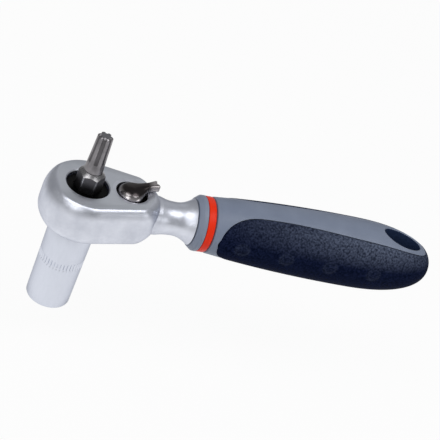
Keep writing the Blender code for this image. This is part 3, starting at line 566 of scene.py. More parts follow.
# A darker copy of the bit's steel: painted shade in the flutes and on the hex flats
SHADED_STEEL = metal("steel_painted_shade", (0.10, 0.096, 0.102), (0.165, 0.158, 0.166), 0.30, 0.42)
BIT_STEEL = metal(
    "bit_steel", (0.20, 0.192, 0.202), (0.34, 0.326, 0.34), 0.28, 0.42, stretch=(1.0, 1.0, 0.35), mottle=320.0
)
TIP_STEEL = metal("tip_steel", (0.19, 0.19, 0.205), (0.27, 0.27, 0.285), 0.30, 0.42)
CHAMFER_STEEL = metal("chamfer_steel", (0.26, 0.256, 0.265), (0.33, 0.326, 0.335), 0.24, 0.34)
SPRING_STEEL = metal("spring_steel", (0.36, 0.36, 0.37), (0.47, 0.47, 0.48), 0.24, 0.38, 4000.0)
GREY = plastic("grey_plastic", (0.178, 0.213, 0.295), (0.203, 0.240, 0.327), 0.42, 0.55, 5200.0, 0.00002)
COLLAR_GREY = plastic(
    "collar_plastic", (0.205, 0.238, 0.318), (0.235, 0.270, 0.355), 0.42, 0.55, 5200.0, 0.00002
)
RED = plastic("red_plastic", (0.80, 0.026, 0.003), (0.90, 0.034, 0.004), 0.34, 0.44, 3600.0, 0.00001, 0.2)
# The third and fourth colours are the paler tones of the painted sheen and of the painted highlight around
# the pads
RUBBER = grip_rubber(
    "dark_rubber",
    (0.0013, 0.0034, 0.0144),
    (0.0092, 0.0140, 0.0430),
    (0.025, 0.032, 0.054),
    (0.124, 0.149, 0.217),
    1950.0,
    0.0001,
    0.010,
)
# Dark rubber for the gear's dust seal, also laid on the wall of the hanging hole as painted shade
SEAL_RUBBER_AND_HOLE_SHADE = rubber("seal_rubber_and_painted_hole_shade", (0.016, 0.029, 0.070), (0.022, 0.039, 0.092), 2000.0, 0.00003)


# Head and neck


FLANK_STEPS = 18

# The head's roundings: on the flanks, and what the lean, the back and the nose add
TOP_EDGE_WIDTH = (0.0019, 0.0003, 0.0010, 0.0012)
TOP_EDGE_DEPTH = (0.0034, 0.0009, 0.0004, 0.0010)
LOW_EDGE_WIDTH = (0.0010, 0.0, 0.0008, 0.0012)
LOW_EDGE_DEPTH = (0.0020, 0.0, 0.0012, 0.0010)
TOP_EDGE_TILT = radians(12.5)
ROOT_POWER = 2.4
ROOT_SQUARENESS = 0.7

# Profiles as (radius, height): the gear's room, and the lever's seat with the ring's groove
GEAR_ROOM = (
    (0.0, HEAD_TOP + CLEAR),
    (TOP_HOLE_RADIUS + HOLE_CHAMFER + CLEAR, HEAD_TOP + CLEAR),
    (TOP_HOLE_RADIUS, HEAD_TOP - HOLE_CHAMFER),
    (TOP_HOLE_RADIUS, 0.0359),
    (0.0081, 0.0359),
    (0.0081, 0.0296),
    (0.00845, 0.0296),
    (0.00845, 0.0284),
    (0.0092, 0.0284),
    (0.0092, 0.0274),
    (0.00845, 0.0274),
    (0.00845, HEAD_BOTTOM + 0.0002),
    (0.00965, HEAD_BOTTOM - CLEAR),
    (0.0, HEAD_BOTTOM - CLEAR),
)
SNAP_GROOVE_TOP = 0.03615
SNAP_GROOVE_BOTTOM = 0.03525
LEVER_SEAT = (
    (0.0, HEAD_TOP + CLEAR),
    (2 * LEVER_RECESS_RADIUS, HEAD_TOP + CLEAR),
    (LEVER_RECESS_RADIUS, HEAD_TOP - HOLE_CHAMFER),
    (LEVER_RECESS_RADIUS, LEVER_FLOOR),
    (0.00215, LEVER_FLOOR),
    (0.00215, SNAP_GROOVE_TOP),
    (0.00255, SNAP_GROOVE_TOP),
    (0.00255, SNAP_GROOVE_BOTTOM),
    (0.00215, SNAP_GROOVE_BOTTOM),
    (0.00215, 0.0297),
    (0.0, 0.0297),
)

# The room that the pawl rocks in, swept to both sides
PAWL_ROOM = ((0.0074, 0.030375), (0.0106, 0.030375), (0.0106, 0.035275), (0.0074, 0.035275))
PAWL_ROOM_ANGLE = radians(38.25)


def eased(value, start, end):
    """Runs from 0 to 1 between start and end, level at both."""
    share = min(max((value - start) / (end - start), 0.0), 1.0)
    return share * share * (3.0 - 2.0 * share)


def head_outline():
    """The pear-shaped plan as (centre along, radius, facing): two arcs and the straights between them."""
    tangent = acos((HEAD_RADIUS - NOSE_RADIUS) / (NOSE_OFFSET - HEAD_CENTRE))
    nose_steps, side_steps, back_steps = 64, 24, 128
    side = []
    for step in range(side_steps + 1):
        share = step / side_steps
        centre = NOSE_OFFSET + (HEAD_CENTRE - NOSE_OFFSET) * share
        side.append((centre, NOSE_RADIUS + (HEAD_RADIUS - NOSE_RADIUS) * share))
    plan = [(NOSE_OFFSET, NOSE_RADIUS, tangent * (2 * step / nose_steps - 1)) for step in range(nose_steps)]
    plan += [(centre, radius, tangent) for centre, radius in side[:-1]]
    for step in range(back_steps):
        plan.append((HEAD_CENTRE, HEAD_RADIUS, tangent + 2 * (pi - tangent) * step / back_steps))
    return plan + [(centre, radius, -tangent) for centre, radius in reversed(side)]


def head_profile(facing):
    """The head's flank as (inset, height), from the edge of the flat top down to the underside.

    The back is one soft round, the flanks meet the top in a crisp edge, and the nose runs off gently.
    """
    away = abs((facing + pi) % (2 * pi) - pi)
    soft = eased(away, radians(132), radians(172))
    lean = eased(away, radians(85), radians(130))
    nose = 1.0 - eased(away, radians(38), radians(72))
    shares = (1.0, lean, soft, nose)
    roundings = (TOP_EDGE_WIDTH, TOP_EDGE_DEPTH, LOW_EDGE_WIDTH, LOW_EDGE_DEPTH)
    sizes = [sum(part * share for part, share in zip(parts, shares)) for parts in roundings]
    width, depth, low_width, low_depth = sizes
    start = TOP_EDGE_TILT * (1.0 - soft) * (1.0 - 0.5 * nose)
    middle = HEAD_TOP - depth * cos(start)
    flank = []
    for step in range(FLANK_STEPS + 1):
        turn = start + (pi / 2 - start) * step / FLANK_STEPS
        flank.append((width * (1.0 - sin(turn)), middle + depth * cos(turn)))
    for step in range(FLANK_STEPS + 1):
        turn = pi / 2 * step / FLANK_STEPS
        flank.append((low_width * (1.0 - cos(turn)), HEAD_BOTTOM + low_depth * (1.0 - sin(turn))))
    return flank


def head_blank():
    plan = head_outline()
    flanks = [head_profile(facing) for _, _, facing in plan]
    rows = len(flanks[0]) - 1

    def place(column, row):
        centre, radius, facing = plan[column]
        inset, height = flanks[column][row]
        reach = radius - inset
        return Vector((centre + reach * cos(facing), reach * sin(facing), height))

    return on_drive(capped(mapped_grid(len(plan) - 1, rows, place)))


def signed_power(value, power):
    return abs(value) ** power if value >= 0.0 else -(abs(value) ** power)


def neck():
    """The waisted neck: round at the collar, squarer where it grows out of the head's nose."""
    flare = (NECK_END_RADIUS - NECK_RADIUS) / (NECK_END - NECK_WAIST) ** 2
    rise = (NECK_ROOT_RADIUS - NECK_RADIUS) / (NECK_ROOT - NECK_WAIST) ** 2
    steps, segments = 56, 128
    step_length = (NECK_END - ROOT_START) / steps
    places = [NOSE_OFFSET] + [ROOT_START + step_length * step for step in range(steps + 1)]

    def place(column, row):
        along = places[row]
        turn = 2 * pi * column / segments
        bend = flare if along > NECK_WAIST else rise
        radius = NECK_RADIUS + bend * (max(along, NECK_ROOT) - NECK_WAIST) ** 2
        swell = min(max((ROOT_END - along) / (ROOT_END - ROOT_START), 0.0), 1.0) ** ROOT_POWER
        across = radius * (1.0 - swell) * cos(turn)
        across += swell * ROOT_HALF_WIDTH * signed_power(cos(turn), ROOT_SQUARENESS)
        up = radius * (1.0 - swell) * sin(turn)
        up += swell * ROOT_HALF_HEIGHT * signed_power(sin(turn), ROOT_SQUARENESS)
        return Vector((DRIVE_X + along, across, HANDLE_Z + up + swell * ROOT_LIFT))

    return capped(mapped_grid(segments, len(places) - 1, place))


def pawl_cutter():
    shell = bmesh.new()
    face = shell.faces.new([shell.verts.new((x, 0.0, z)) for x, z in PAWL_ROOM])
    back = Matrix.Rotation(-PAWL_ROOM_ANGLE, 3, "Z")
    bmesh.ops.rotate(shell, verts=shell.verts, cent=ORIGIN, matrix=back)
    section = [face] + list(face.edges) + list(face.verts)
    return on_drive(spun(shell, section, 2 * PAWL_ROOM_ANGLE, 32, False))


def build_head():
    shell = joined(head_blank(), neck(), on_handle(plug(TANG_RADIUS, TANG_START, TANG_END, 64)))
    shell = cut(shell, on_drive(turned(GEAR_ROOM, 128)), on_lever(turned(LEVER_SEAT, 96)), pawl_cutter())
    for face in shell.faces:
        middle = face.calc_center_median()
        level = face.normal.z > 0.999 and middle.z > HEAD_TOP - TOUCH
        inside = (middle.x - LEVER_X) ** 2 + middle.y**2 < (LEVER_RECESS_RADIUS - NEAR) ** 2
        deep = middle.z < LEVER_FLOOR + NEAR
        # The floor of the lever's recess takes the near-black painted shade
        face.material_index = 1 if level else 2 if inside and deep else 0
    finishes = (CHROME, GROUND_TOP, RECESS_SHADE)
    piece("head_and_neck", shell, finishes, "handle", ("ratchet_body",), radians(32))


# Reversing lever


LEVER_HUB_RADIUS = 0.0037
LEVER_HUB_BOTTOM = 0.0369
LEVER_RIM = 0.0371
LEVER_CROWN = 0.0396
LEVER_ARM_BOTTOM = 0.0381
LEVER_ARM_TOP = 0.0401
LEVER_ARM_LENGTH = 0.0072
LEVER_ARM_START = 0.0015
LEVER_ARM_SQUARENESS = 0.48
LEVER_ARM_HOLLOW = 0.10
LEVER_UNDER_START = 0.0024
LEVER_UNDER_END = 0.0040
LEVER_UNDER_POWER = 0.45
LEVER_WAIST_AT = 0.0046
LEVER_WAIST = 0.0011
LEVER_TIP = 0.00145
LEVER_NOTCH = ((LEVER_ARM_LENGTH - 0.0004, 0.0), (0.0080, -0.0022), (0.0080, 0.0022))
LEVER_NOTCH_BOTTOM = 0.037
LEVER_NOTCH_TOP = 0.041
LEVER_VOXEL = 0.00009
LEVER_SHAFT = (
    (0.0, LEVER_RIM),
    (0.0020, LEVER_RIM),
    (0.0020, SNAP_GROOVE_TOP),
    (0.0016, SNAP_GROOVE_TOP),
    (0.0016, SNAP_GROOVE_BOTTOM),
    (0.0020, SNAP_GROOVE_BOTTOM),
    (0.0020, 0.0300),
    (0.0, 0.0300),
)
LEVER_SHAFT_EDGE = 0.0001
PAWL_MIDDLE = 0.032825
PLUNGER_BORE_END = 0.0015
PLUNGER_BORE = (0.00075, -0.00225, PLUNGER_BORE_END)


def lever_section(along, turn):
    """A point of the lever's skin: a teardrop dome that runs out into a rising, hollow-sided arm."""
    back = sqrt(max(1.0 - (along / LEVER_HUB_RADIUS) ** 2, 0.0)) if along < 0.0 else 1.0
    arm = eased(along, LEVER_ARM_START, LEVER_WAIST_AT)
    half = LEVER_HUB_RADIUS * back + (LEVER_WAIST - LEVER_HUB_RADIUS) * eased(along, 0.0, LEVER_WAIST_AT)
    half += (LEVER_TIP - LEVER_WAIST) * eased(along, LEVER_WAIST_AT, LEVER_ARM_LENGTH)
    crown = LEVER_RIM + (LEVER_CROWN - LEVER_RIM) * back
    crown += (LEVER_ARM_TOP - LEVER_CROWN) * max(along, 0.0) / LEVER_ARM_LENGTH
    lift = eased(along, LEVER_UNDER_START, LEVER_UNDER_END)
    under = LEVER_HUB_BOTTOM + (LEVER_ARM_BOTTOM - LEVER_HUB_BOTTOM) * lift
    rim = LEVER_RIM + ((under + crown) / 2 - LEVER_RIM) * arm
    power = 1.0 - LEVER_ARM_SQUARENESS * arm
    up = abs(sin(turn))
    across = signed_power(cos(turn), power) * half
    across *= 1.0 - LEVER_ARM_HOLLOW * arm * (1.0 - up) ** 2
    if sin(turn) >= 0.0:
        return Vector((along, across, rim + (crown - rim) * up**power))
    return Vector((along, across, rim - (rim - under) * up**LEVER_UNDER_POWER))


def build_lever():
    dome_steps, arm_steps, segments = 16, 24, 64
    places = [-LEVER_HUB_RADIUS * cos(pi / 2 * step / dome_steps) for step in range(dome_steps)]
    places += [LEVER_ARM_LENGTH * step / arm_steps for step in range(arm_steps + 1)]

    def place(column, row):
        return lever_section(places[row], 2 * pi * column / segments)

    shell = on_lever(capped(mapped_grid(segments, len(places) - 1, place)))
    notch = on_lever(prism(LEVER_NOTCH, LEVER_NOTCH_BOTTOM, LEVER_NOTCH_TOP))
    shell = melted(cut(shell, notch), LEVER_VOXEL, 4)
    shell = joined(shell, on_lever(soften(turned(LEVER_SHAFT, 48), LEVER_SHAFT_EDGE)))
    bore = plug(*PLUNGER_BORE, 24)
    moved(bore, Matrix.Translation((0.0, 0.0, PAWL_MIDDLE)) @ Matrix.Rotation(pi / 2, 4, "Y"))
    shell = cut(shell, on_lever(bore))
    nodes = ("reversing_lever",)
    piece("reversing_lever_dressed", shell, (NICKEL,), "lever", nodes, radians(50))


SPRING_TURNS = 3
SPRING_WIRE_RADIUS = 0.00011
SPRING_RADIUS = 0.00049
SPRING_NEAR = -0.00034
SPRING_FAR = 0.00124


def build_pawl_spring():
    """The coiled spring behind the plunger."""
    segments, steps = 12, SPRING_TURNS * 24

    def place(column, row):
        turn = 2 * pi * SPRING_TURNS * row / steps
        around = 2 * pi * column / segments
        reach = SPRING_RADIUS + SPRING_WIRE_RADIUS * cos(around)
        along = SPRING_NEAR + (SPRING_FAR - SPRING_NEAR) * row / steps + SPRING_WIRE_RADIUS * sin(around)
        return Vector((along, reach * cos(turn), PAWL_MIDDLE + reach * sin(turn)))

    shell = on_lever(capped(mapped_grid(segments, steps, place)))
    spring = piece("pawl_spring_dressed", shell, (SPRING_STEEL,), "lever", ("pawl_spring",))
    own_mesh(spring)


# Socket


SOCKET_LENGTH = 0.025
SOCKET_RADIUS = 0.0061
SOCKET_END_RADIUS = 0.0059
SOCKET_LOW_EDGE = 0.0004
SOCKET_TOP_EDGE = 0.00055
SOCKET_EDGE_BEND = 0.3
SOCKET_LOW_RINGS = (0.004, 0.008, 0.0118)
SOCKET_HIGH_RINGS = (0.0166, 0.020)
SOCKET_SQUARE = 0.0066
SOCKET_SQUARE_FLOOR = SOCKET_LENGTH - 0.0085
SOCKET_ACROSS_FLATS = 0.0081
SOCKET_HEX_DEPTH = 0.0105
SOCKET_LEAD = ((0.0, -0.0005), (0.0056, -0.0005), (0.0040, 0.0008), (0.0, 0.0008))
SOCKET_BORE = (0.0030, 0.0102, 0.0168)
KNURL_LOW = 0.0127
KNURL_HIGH = 0.0157
KNURL_RIBS = 40
KNURL_DEPTH = 0.00025
KNURL_RUN = 0.3
KNURL_POWER = 1.5


def socket_radius(height):
    return SOCKET_END_RADIUS + (SOCKET_RADIUS - SOCKET_END_RADIUS) * height / SOCKET_LENGTH


def ribbed(shell):
    """Presses the ribs of the grip band into the socket."""
    for vert in shell.verts:
        share = (vert.co.z - KNURL_LOW) / (KNURL_HIGH - KNURL_LOW)
        if 0.0 < share < 1.0:
            outward = Vector((vert.co.x, vert.co.y))
            angle = outward.angle_signed(Vector((1.0, 0.0)), 0.0)
            run = eased(share, 0.0, KNURL_RUN) * eased(1.0 - share, 0.0, KNURL_RUN)
            depth = KNURL_DEPTH * run * (0.5 + 0.5 * cos(KNURL_RIBS * angle)) ** KNURL_POWER
            outward.normalize()
            vert.co.x -= outward.x * depth
            vert.co.y -= outward.y * depth
    return shell


def build_socket():
    band_steps, rib_steps = 12, 8
    band = [KNURL_LOW + (KNURL_HIGH - KNURL_LOW) * step / band_steps for step in range(band_steps + 1)]
    low_bend = SOCKET_LOW_EDGE * SOCKET_EDGE_BEND
    top_bend = SOCKET_TOP_EDGE * SOCKET_EDGE_BEND
    heights = [SOCKET_LOW_EDGE, *SOCKET_LOW_RINGS, *band, *SOCKET_HIGH_RINGS, SOCKET_LENGTH - SOCKET_TOP_EDGE]
    profile = [(0.0, 0.0), (SOCKET_END_RADIUS - SOCKET_LOW_EDGE, 0.0)]
    profile += [(SOCKET_END_RADIUS - low_bend, low_bend)]
    profile += [(socket_radius(height), height) for height in heights]
    profile += [(SOCKET_RADIUS - top_bend, SOCKET_LENGTH - top_bend)]
    profile += [(SOCKET_RADIUS - SOCKET_TOP_EDGE, SOCKET_LENGTH), (0.0, SOCKET_LENGTH)]
    shell = on_drive(ribbed(turned(profile, KNURL_RIBS * rib_steps)))
    square = prism(regular(4, SOCKET_SQUARE, pi / 4), SOCKET_SQUARE_FLOOR, SOCKET_LENGTH + CLEAR)
    hexagon = prism(regular(6, SOCKET_ACROSS_FLATS, pi / 6), -CLEAR, SOCKET_HEX_DEPTH)
    holes = (square, hexagon, turned(SOCKET_LEAD, 96), plug(*SOCKET_BORE, 64))
    shell = cut(shell, *[on_drive(hole) for hole in holes])
    piece("socket_dressed", shell, (SOCKET_CHROME,), "socket", ("socket",), radians(25))


# Bit


BIT_TIP = 0.0534
BIT_BOTTOM = 0.0284
BIT_ACROSS_FLATS = 0.00635
SHANK_TOP = 0.0413
CHAMFER_TOP = 0.0425
BIT_SHAFT_RADIUS = 0.0025
BIT_TIP_RADIUS = 0.0020
FLUTE_DEPTH = 0.00045
FLUTE_START = 0.0432
FLUTE_RUN = 0.0036
FLUTE_RISE = 0.15
FLUTE_BED = 0.75
BIT_TAPER_POWER = 0.7
SHANK_EDGE = 0.00030
SHANK_MARGIN = 0.0003
CHAMFER_DROP = 0.00045
TIP_EDGE = 0.0005
BIT_TURN = radians(15)


def flute_share(turn, height):
    """How far the flutes are sunk at a place on the shaft, from 0 to 1."""
    hollow = eased(0.5 + 0.5 * cos(6 * (turn - BIT_TURN)), FLUTE_RISE, FLUTE_BED)
    return hollow * eased(height, FLUTE_START, FLUTE_START + FLUTE_RUN)


def star_shaft():
    """The round shaft that runs into six soft flutes towards the tip."""
    segments, rows = 144, 60
    foot = SHANK_TOP - CLEAR

    def place(column, row):
        height = foot + (BIT_TIP - foot) * row / rows
        turn = 2 * pi * column / segments
        taper = max((height - CHAMFER_TOP) / (BIT_TIP - CHAMFER_TOP), 0.0) ** BIT_TAPER_POWER
        radius = BIT_SHAFT_RADIUS + (BIT_TIP_RADIUS - BIT_SHAFT_RADIUS) * taper
        radius -= FLUTE_DEPTH * flute_share(turn, height)
        radius -= TIP_EDGE * max((height - BIT_TIP + TIP_EDGE) / TIP_EDGE, 0.0) ** 2
        return Vector((radius * cos(turn), radius * sin(turn), height))

    return capped(mapped_grid(segments, rows, place))


def bit_finish(face):
    """Which of the bit's finishes a face has: shaft, tip, bright edges, or flutes and flats in a darker steel
    as painted shade.
    """
    middle = face.calc_center_median()
    x, y, height = middle.x - DRIVE_X, middle.y, middle.z
    reach = sqrt(x**2 + y**2)
    if height < CHAMFER_TOP + NEAR and reach > BIT_SHAFT_RADIUS - NEAR / 2:
        edge = reach > BIT_ACROSS_FLATS / 2 + SHANK_EDGE / 2
        return 2 if edge or 0.3 < face.normal.z < 0.97 else 3
    if height > BIT_TIP - TOUCH:
        return 1
    return 3 if height < BIT_TIP - TIP_EDGE and flute_share(atan2(y, x), height) > 0.5 else 0


def build_bit():
    corner = BIT_ACROSS_FLATS / sqrt(3)
    shell = prism(regular(6, BIT_ACROSS_FLATS, BIT_TURN + pi / 6), BIT_BOTTOM, CHAMFER_TOP)
    soften(shell, SHANK_EDGE, radians(50), 3)
    envelope = [
        (0.0, CHAMFER_TOP + SHANK_MARGIN),
        (BIT_SHAFT_RADIUS - SHANK_MARGIN, CHAMFER_TOP + SHANK_MARGIN),
        (BIT_SHAFT_RADIUS + SHANK_MARGIN, CHAMFER_TOP - CHAMFER_DROP),
        (corner + SHANK_MARGIN, SHANK_TOP - SHANK_MARGIN),
        (corner + SHANK_MARGIN, BIT_BOTTOM + SHANK_MARGIN),
        (corner - SHANK_MARGIN, BIT_BOTTOM - SHANK_MARGIN),
        (0.0, BIT_BOTTOM - SHANK_MARGIN),
    ]
    shell = combined(shell, turned(envelope, 120), "INTERSECT")
    shell = joined(on_drive(shell), on_drive(star_shaft()))
    for face in shell.faces:
        face.material_index = bit_finish(face)
    finishes = (BIT_STEEL, TIP_STEEL, CHAMFER_STEEL, SHADED_STEEL)
    piece("bit_dressed", shell, finishes, "bit", ("bit",), radians(30))


# Collar, ring and grip


COLLAR_BORE = TANG_RADIUS + 0.0003
COLLAR_SWELL = 0.00004
COLLAR_EDGE = 0.00012
RING_EDGE = 0.0002

# The hard strips on the grip's top and underside
STRIP_FLARE_END = 0.047
STRIP_FLARE_LENGTH = 0.0107
STRIP_FLARE_WIDTH = 0.0046
STRIP_FLARE_POWER = 0.72
STRIP_NARROW = 0.0036
STRIP_GROW_START = 0.050
STRIP_GROW_END = 0.082
STRIP_WIDE = 0.00495
STRIP_NOSE = 0.0969
STRIP_NOSE_POWER = 2.6

# The sleeve's rolled rim and its low pads
RIM_ROUND = 0.0004
RIM_STEPS = (0.0, 0.00004, 0.00012, 0.00024, 0.0004)
PAD_ANGLE = radians(91)
PAD_HALF_LENGTH = 0.0023
PAD_HALF_WIDTH = 0.0019
PAD_RISE = 0.00036
PAD_FLAT = 0.55

# The core's front edge as (place behind the front, added inset), its bore, and the hanging hole's rolled edge
CORE_EDGE = ((0.0, 0.00025), (0.0001, 0.00008))
CORE_BORE = (0.0045, 0.034, 0.0703)
HOLE_SLACK = 0.00002
HOLE_ROLL = (
    (0.00052, 0.00008),
    (0.00036, -0.00005),
    (0.00022, -0.00014),
    (0.00010, -0.00027),
    (0.00003, -0.00042),
    (0.0, -0.00062),
)


def build_collar_and_ring():
    collar = [
        (COLLAR_BORE, COLLAR_START),
        (COLLAR_FRONT_RADIUS, COLLAR_START),
        (COLLAR_RADIUS - COLLAR_SWELL, COLLAR_START + COLLAR_CHAMFER),
        (COLLAR_RADIUS, COLLAR_END),
        (COLLAR_BORE, COLLAR_END),
    ]
    shell = on_handle(soften(turned(collar, 128, closed=True), COLLAR_EDGE))
    piece("handle_collar_dressed", shell, (COLLAR_GREY,), "handle", ("handle_collar",))
    ring = [
        (COLLAR_BORE, ACCENT_START),
        (RING_RADIUS, ACCENT_START),
        (RING_RADIUS, ACCENT_END),
        (COLLAR_BORE, ACCENT_END),
    ]
    shell = on_handle(soften(turned(ring, 128, closed=True), RING_EDGE, segments=4))
    piece("accent_ring_dressed", shell, (RED,), "handle", ("accent_ring",))


def grip_radius(along, inset):
    if along <= BELLY_X:
        share = max((along - CORE_START) / (BELLY_X - CORE_START), 0.0)
        swell = (BELLY_RADIUS - GRIP_FRONT_RADIUS) * (1.0 - share) ** GRIP_SWELL_POWER
        return BELLY_RADIUS - swell - inset
    share = (along - BELLY_X) / (HANDLE_END - inset - BELLY_X)
    return (BELLY_RADIUS - inset) * max(1.0 - share**TAIL_POWER, 0.0) ** (1 / TAIL_POWER)


def grip_middle(along):
    return HANDLE_Z - GRIP_DROOP * (along - CORE_START) / (HANDLE_END - CORE_START)


def grip_point(along, angle, inset):
    """A point of the grip's skin, with the angle counted from the top."""
    radius = grip_radius(along, inset)
    return Vector((DRIVE_X + along, radius * sin(angle), grip_middle(along) + radius * cos(angle)))


def strip_half_width(along):
    """Half width of the hard strips: flared at the front, then slim, then broad, with a round end."""
    if along < STRIP_FLARE_END:
        share = min((STRIP_FLARE_END - along) / STRIP_FLARE_LENGTH, 1.0)
        return STRIP_NARROW + STRIP_FLARE_WIDTH * (1 - (1 - share**2) ** STRIP_FLARE_POWER)
    if along <= STRIP_GROW_END:
        return STRIP_NARROW + (STRIP_WIDE - STRIP_NARROW) * eased(along, STRIP_GROW_START, STRIP_GROW_END)
    share = min((along - STRIP_GROW_END) / (STRIP_NOSE - STRIP_GROW_END), 1.0)
    return STRIP_WIDE * (1 - share**STRIP_NOSE_POWER) ** (1 / STRIP_NOSE_POWER)


def strip_angle(along, margin):
    """Where the strip ends on the skin, as an angle from the top."""
    radius = grip_radius(along, 0.0)
    if radius <= 0.0:
        return 0.0
    width = strip_half_width(along)
    width = width + margin if width > 0.0 else 0.0
    return asin(min(width / radius, 1.0))


def spread(start, end, steps, law):
    return [start + (end - start) * law(step / steps) for step in range(steps)]


def even(share):
    return share


def slow_start(share):
    return 1.0 - cos(pi / 2 * share)


def slow_end(share):
    return sin(pi / 2 * share)


def panel_front():
    """Where the sleeve's side panels begin."""
    along = SLEEVE_FRONT
    while strip_half_width(along) + SLEEVE_GAP > grip_radius(along, 0.0):
        along += 0.000005
    return along


def grip_stations(end, front_steps, side_steps, back_steps, tail_steps):
    """Places along the grip, closer together where its form turns more."""
    stations = spread(panel_front(), STRIP_FLARE_END, front_steps, slow_start)
    stations += spread(STRIP_FLARE_END, BELLY_X, side_steps, even)
    stations += spread(BELLY_X, STRIP_NOSE, back_steps, slow_end)
    return stations + spread(STRIP_NOSE, end, tail_steps, slow_end) + [end]


def doubled(shell):
    """Adds the far side of the grip and closes the seams on the middle plane."""
    for vert in shell.verts:
        if abs(vert.co.y) < SEAM:
            vert.co.y = 0.0
    bmesh.ops.mirror(
        shell,
        geom=list(shell.verts) + list(shell.edges) + list(shell.faces),
        matrix=Matrix.Identity(4),
        merge_dist=MERGE,
        axis="Y",
    )
    bmesh.ops.dissolve_degenerate(shell, dist=MERGE, edges=shell.edges)
    return close_up(shell)


def pad_rise(along, angle):
    """The low thumb pads along the sleeve's sides."""
    rise = 0.0
    for place in PAD_PLACES:
        lengthwise = (along - place) / PAD_HALF_LENGTH
        around = (angle - PAD_ANGLE) * grip_radius(along, 0.0) / PAD_HALF_WIDTH
        share = lengthwise**2 + around**2
        crest = PAD_FLAT if around < 0.0 else 0.0
        rise = max(rise, PAD_RISE * (1.0 - eased(sqrt(share), crest, 1.0)))
    return rise


def inset_step(angle, inset):
    """A step from the skin straight towards the grip's middle line."""
    return Vector((0.0, -sin(angle) * inset, -cos(angle) * inset))


def build_sleeve():
    stations = grip_stations(HANDLE_END, 40, 90, 70, 16)
    skin_rows, inner = 64, 24
    last = len(RIM_STEPS) - 1
    outer = skin_rows + 2 * last
    rows = outer + inner + 2
    depth = SLEEVE_DEPTH - SLEEVE_LAP
    shrink = (HANDLE_END - depth - BELLY_X) / (HANDLE_END - BELLY_X)

    def place(column, row):
        along = stations[column]
        start = strip_angle(along, SLEEVE_GAP)
        if outer < row < rows:
            deep = along if along <= BELLY_X else BELLY_X + (along - BELLY_X) * shrink
            return grip_point(deep, pi - start - (pi - 2 * start) * (row - outer - 1) / inner, depth)
        row = 0 if row == rows else row
        radius = max(grip_radius(along, 0.0), SEAM)
        span = pi - 2 * start
        reach = min(RIM_ROUND / radius, span / 2)
        near = min(row, outer - row)
        inset = 0.0
        if near <= last:
            turn = reach * RIM_STEPS[near] / RIM_ROUND
            angle = start + turn if row <= last else pi - start - turn
            if strip_half_width(along) > 0.0:
                away = RIM_ROUND - RIM_STEPS[near]
                inset = min(RIM_ROUND - sqrt(max(RIM_ROUND**2 - away**2, 0.0)), radius / 2)
        else:
            angle = start + reach + (span - 2 * reach) * (row - last) / skin_rows
        return grip_point(along, angle, 0.0) + inset_step(angle, inset - pad_rise(along, angle))

    shell = mapped_grid(len(stations) - 1, rows, place)
    walls = [face for face in shell.faces if all(abs(vert.co.y) < MERGE for vert in face.verts)]
    bmesh.ops.delete(shell, geom=walls, context="FACES")
    capped(doubled(shell))
    piece("grip_sleeve_dressed", shell, (RUBBER,), "handle", ("grip_sleeve",), radians(60))


def hole_cutter():
    """The hanging hole with its edges rolled outwards at the top and underside."""
    levels = [(grow, rise, 1.0) for grow, rise in HOLE_ROLL]
    levels += [(grow, rise, -1.0) for grow, rise in reversed(HOLE_ROLL)]
    segments = 96
    clear = BELLY_RADIUS + 2 * CLEAR

    def place(column, row):
        ends = row == 0 or row == len(levels) + 1
        grow, rise, side = levels[min(max(row - 1, 0), len(levels) - 1)]
        turn = 2 * pi * column / segments
        along = HOLE_X + (HOLE_HALF_LENGTH + grow) * cos(turn)
        across = (HOLE_HALF_WIDTH + grow) * sin(turn)
        radius = grip_radius(along, STRIP_SINK)
        height = clear if ends else sqrt(max(radius**2 - across**2, 0.0)) + rise
        middle = HANDLE_Z if ends else grip_middle(along)
        return Vector((DRIVE_X + along, across, middle + side * height))

    return capped(mapped_grid(segments, len(levels) + 1, place))


def build_core():
    front = panel_front()
    stations = [CORE_START + back for back, _ in CORE_EDGE] + [CORE_START + 0.0003, front - 0.0004]
    stations += grip_stations(HANDLE_END - SLEEVE_DEPTH, 28, 30, 48, 8)
    strip_rows, side_rows = 16, 12
    rows = 2 * strip_rows + side_rows + 2

    def place(column, row):
        along = stations[column]
        edge = strip_angle(along, 0.0)
        bare = along < front
        if row <= strip_rows:
            angle, sunk = edge * row / strip_rows, False
        elif row > strip_rows + side_rows + 1:
            angle, sunk = pi - edge * (rows - row) / strip_rows, False
        else:
            angle, sunk = edge + (pi - 2 * edge) * (row - strip_rows - 1) / side_rows, True
        inset = SLEEVE_DEPTH if sunk and not bare else STRIP_SINK
        if along >= STRIP_NOSE:
            inset = SLEEVE_DEPTH
        if column < len(CORE_EDGE):
            inset = STRIP_SINK + CORE_EDGE[column][1]
        return grip_point(along, angle, inset)

    shell = mapped_grid(len(stations) - 1, rows, place)
    bore = on_handle(plug(*CORE_BORE, 48))
    shell = cut(capped(doubled(shell)), bore, hole_cutter())
    # The wall of the hanging hole takes the dark rubber as painted shade
    for face in shell.faces:
        middle = face.calc_center_median()
        across = middle.y / (HOLE_HALF_WIDTH + HOLE_SLACK)
        lengthwise = (middle.x - DRIVE_X - HOLE_X) / (HOLE_HALF_LENGTH + HOLE_SLACK)
        face.material_index = 1 if across**2 + lengthwise**2 < 1.001 else 0
    piece("grip_core_dressed", shell, (GREY, SEAL_RUBBER_AND_HOLE_SHADE), "handle", ("grip_core",))


# Small parts kept as the solids have them


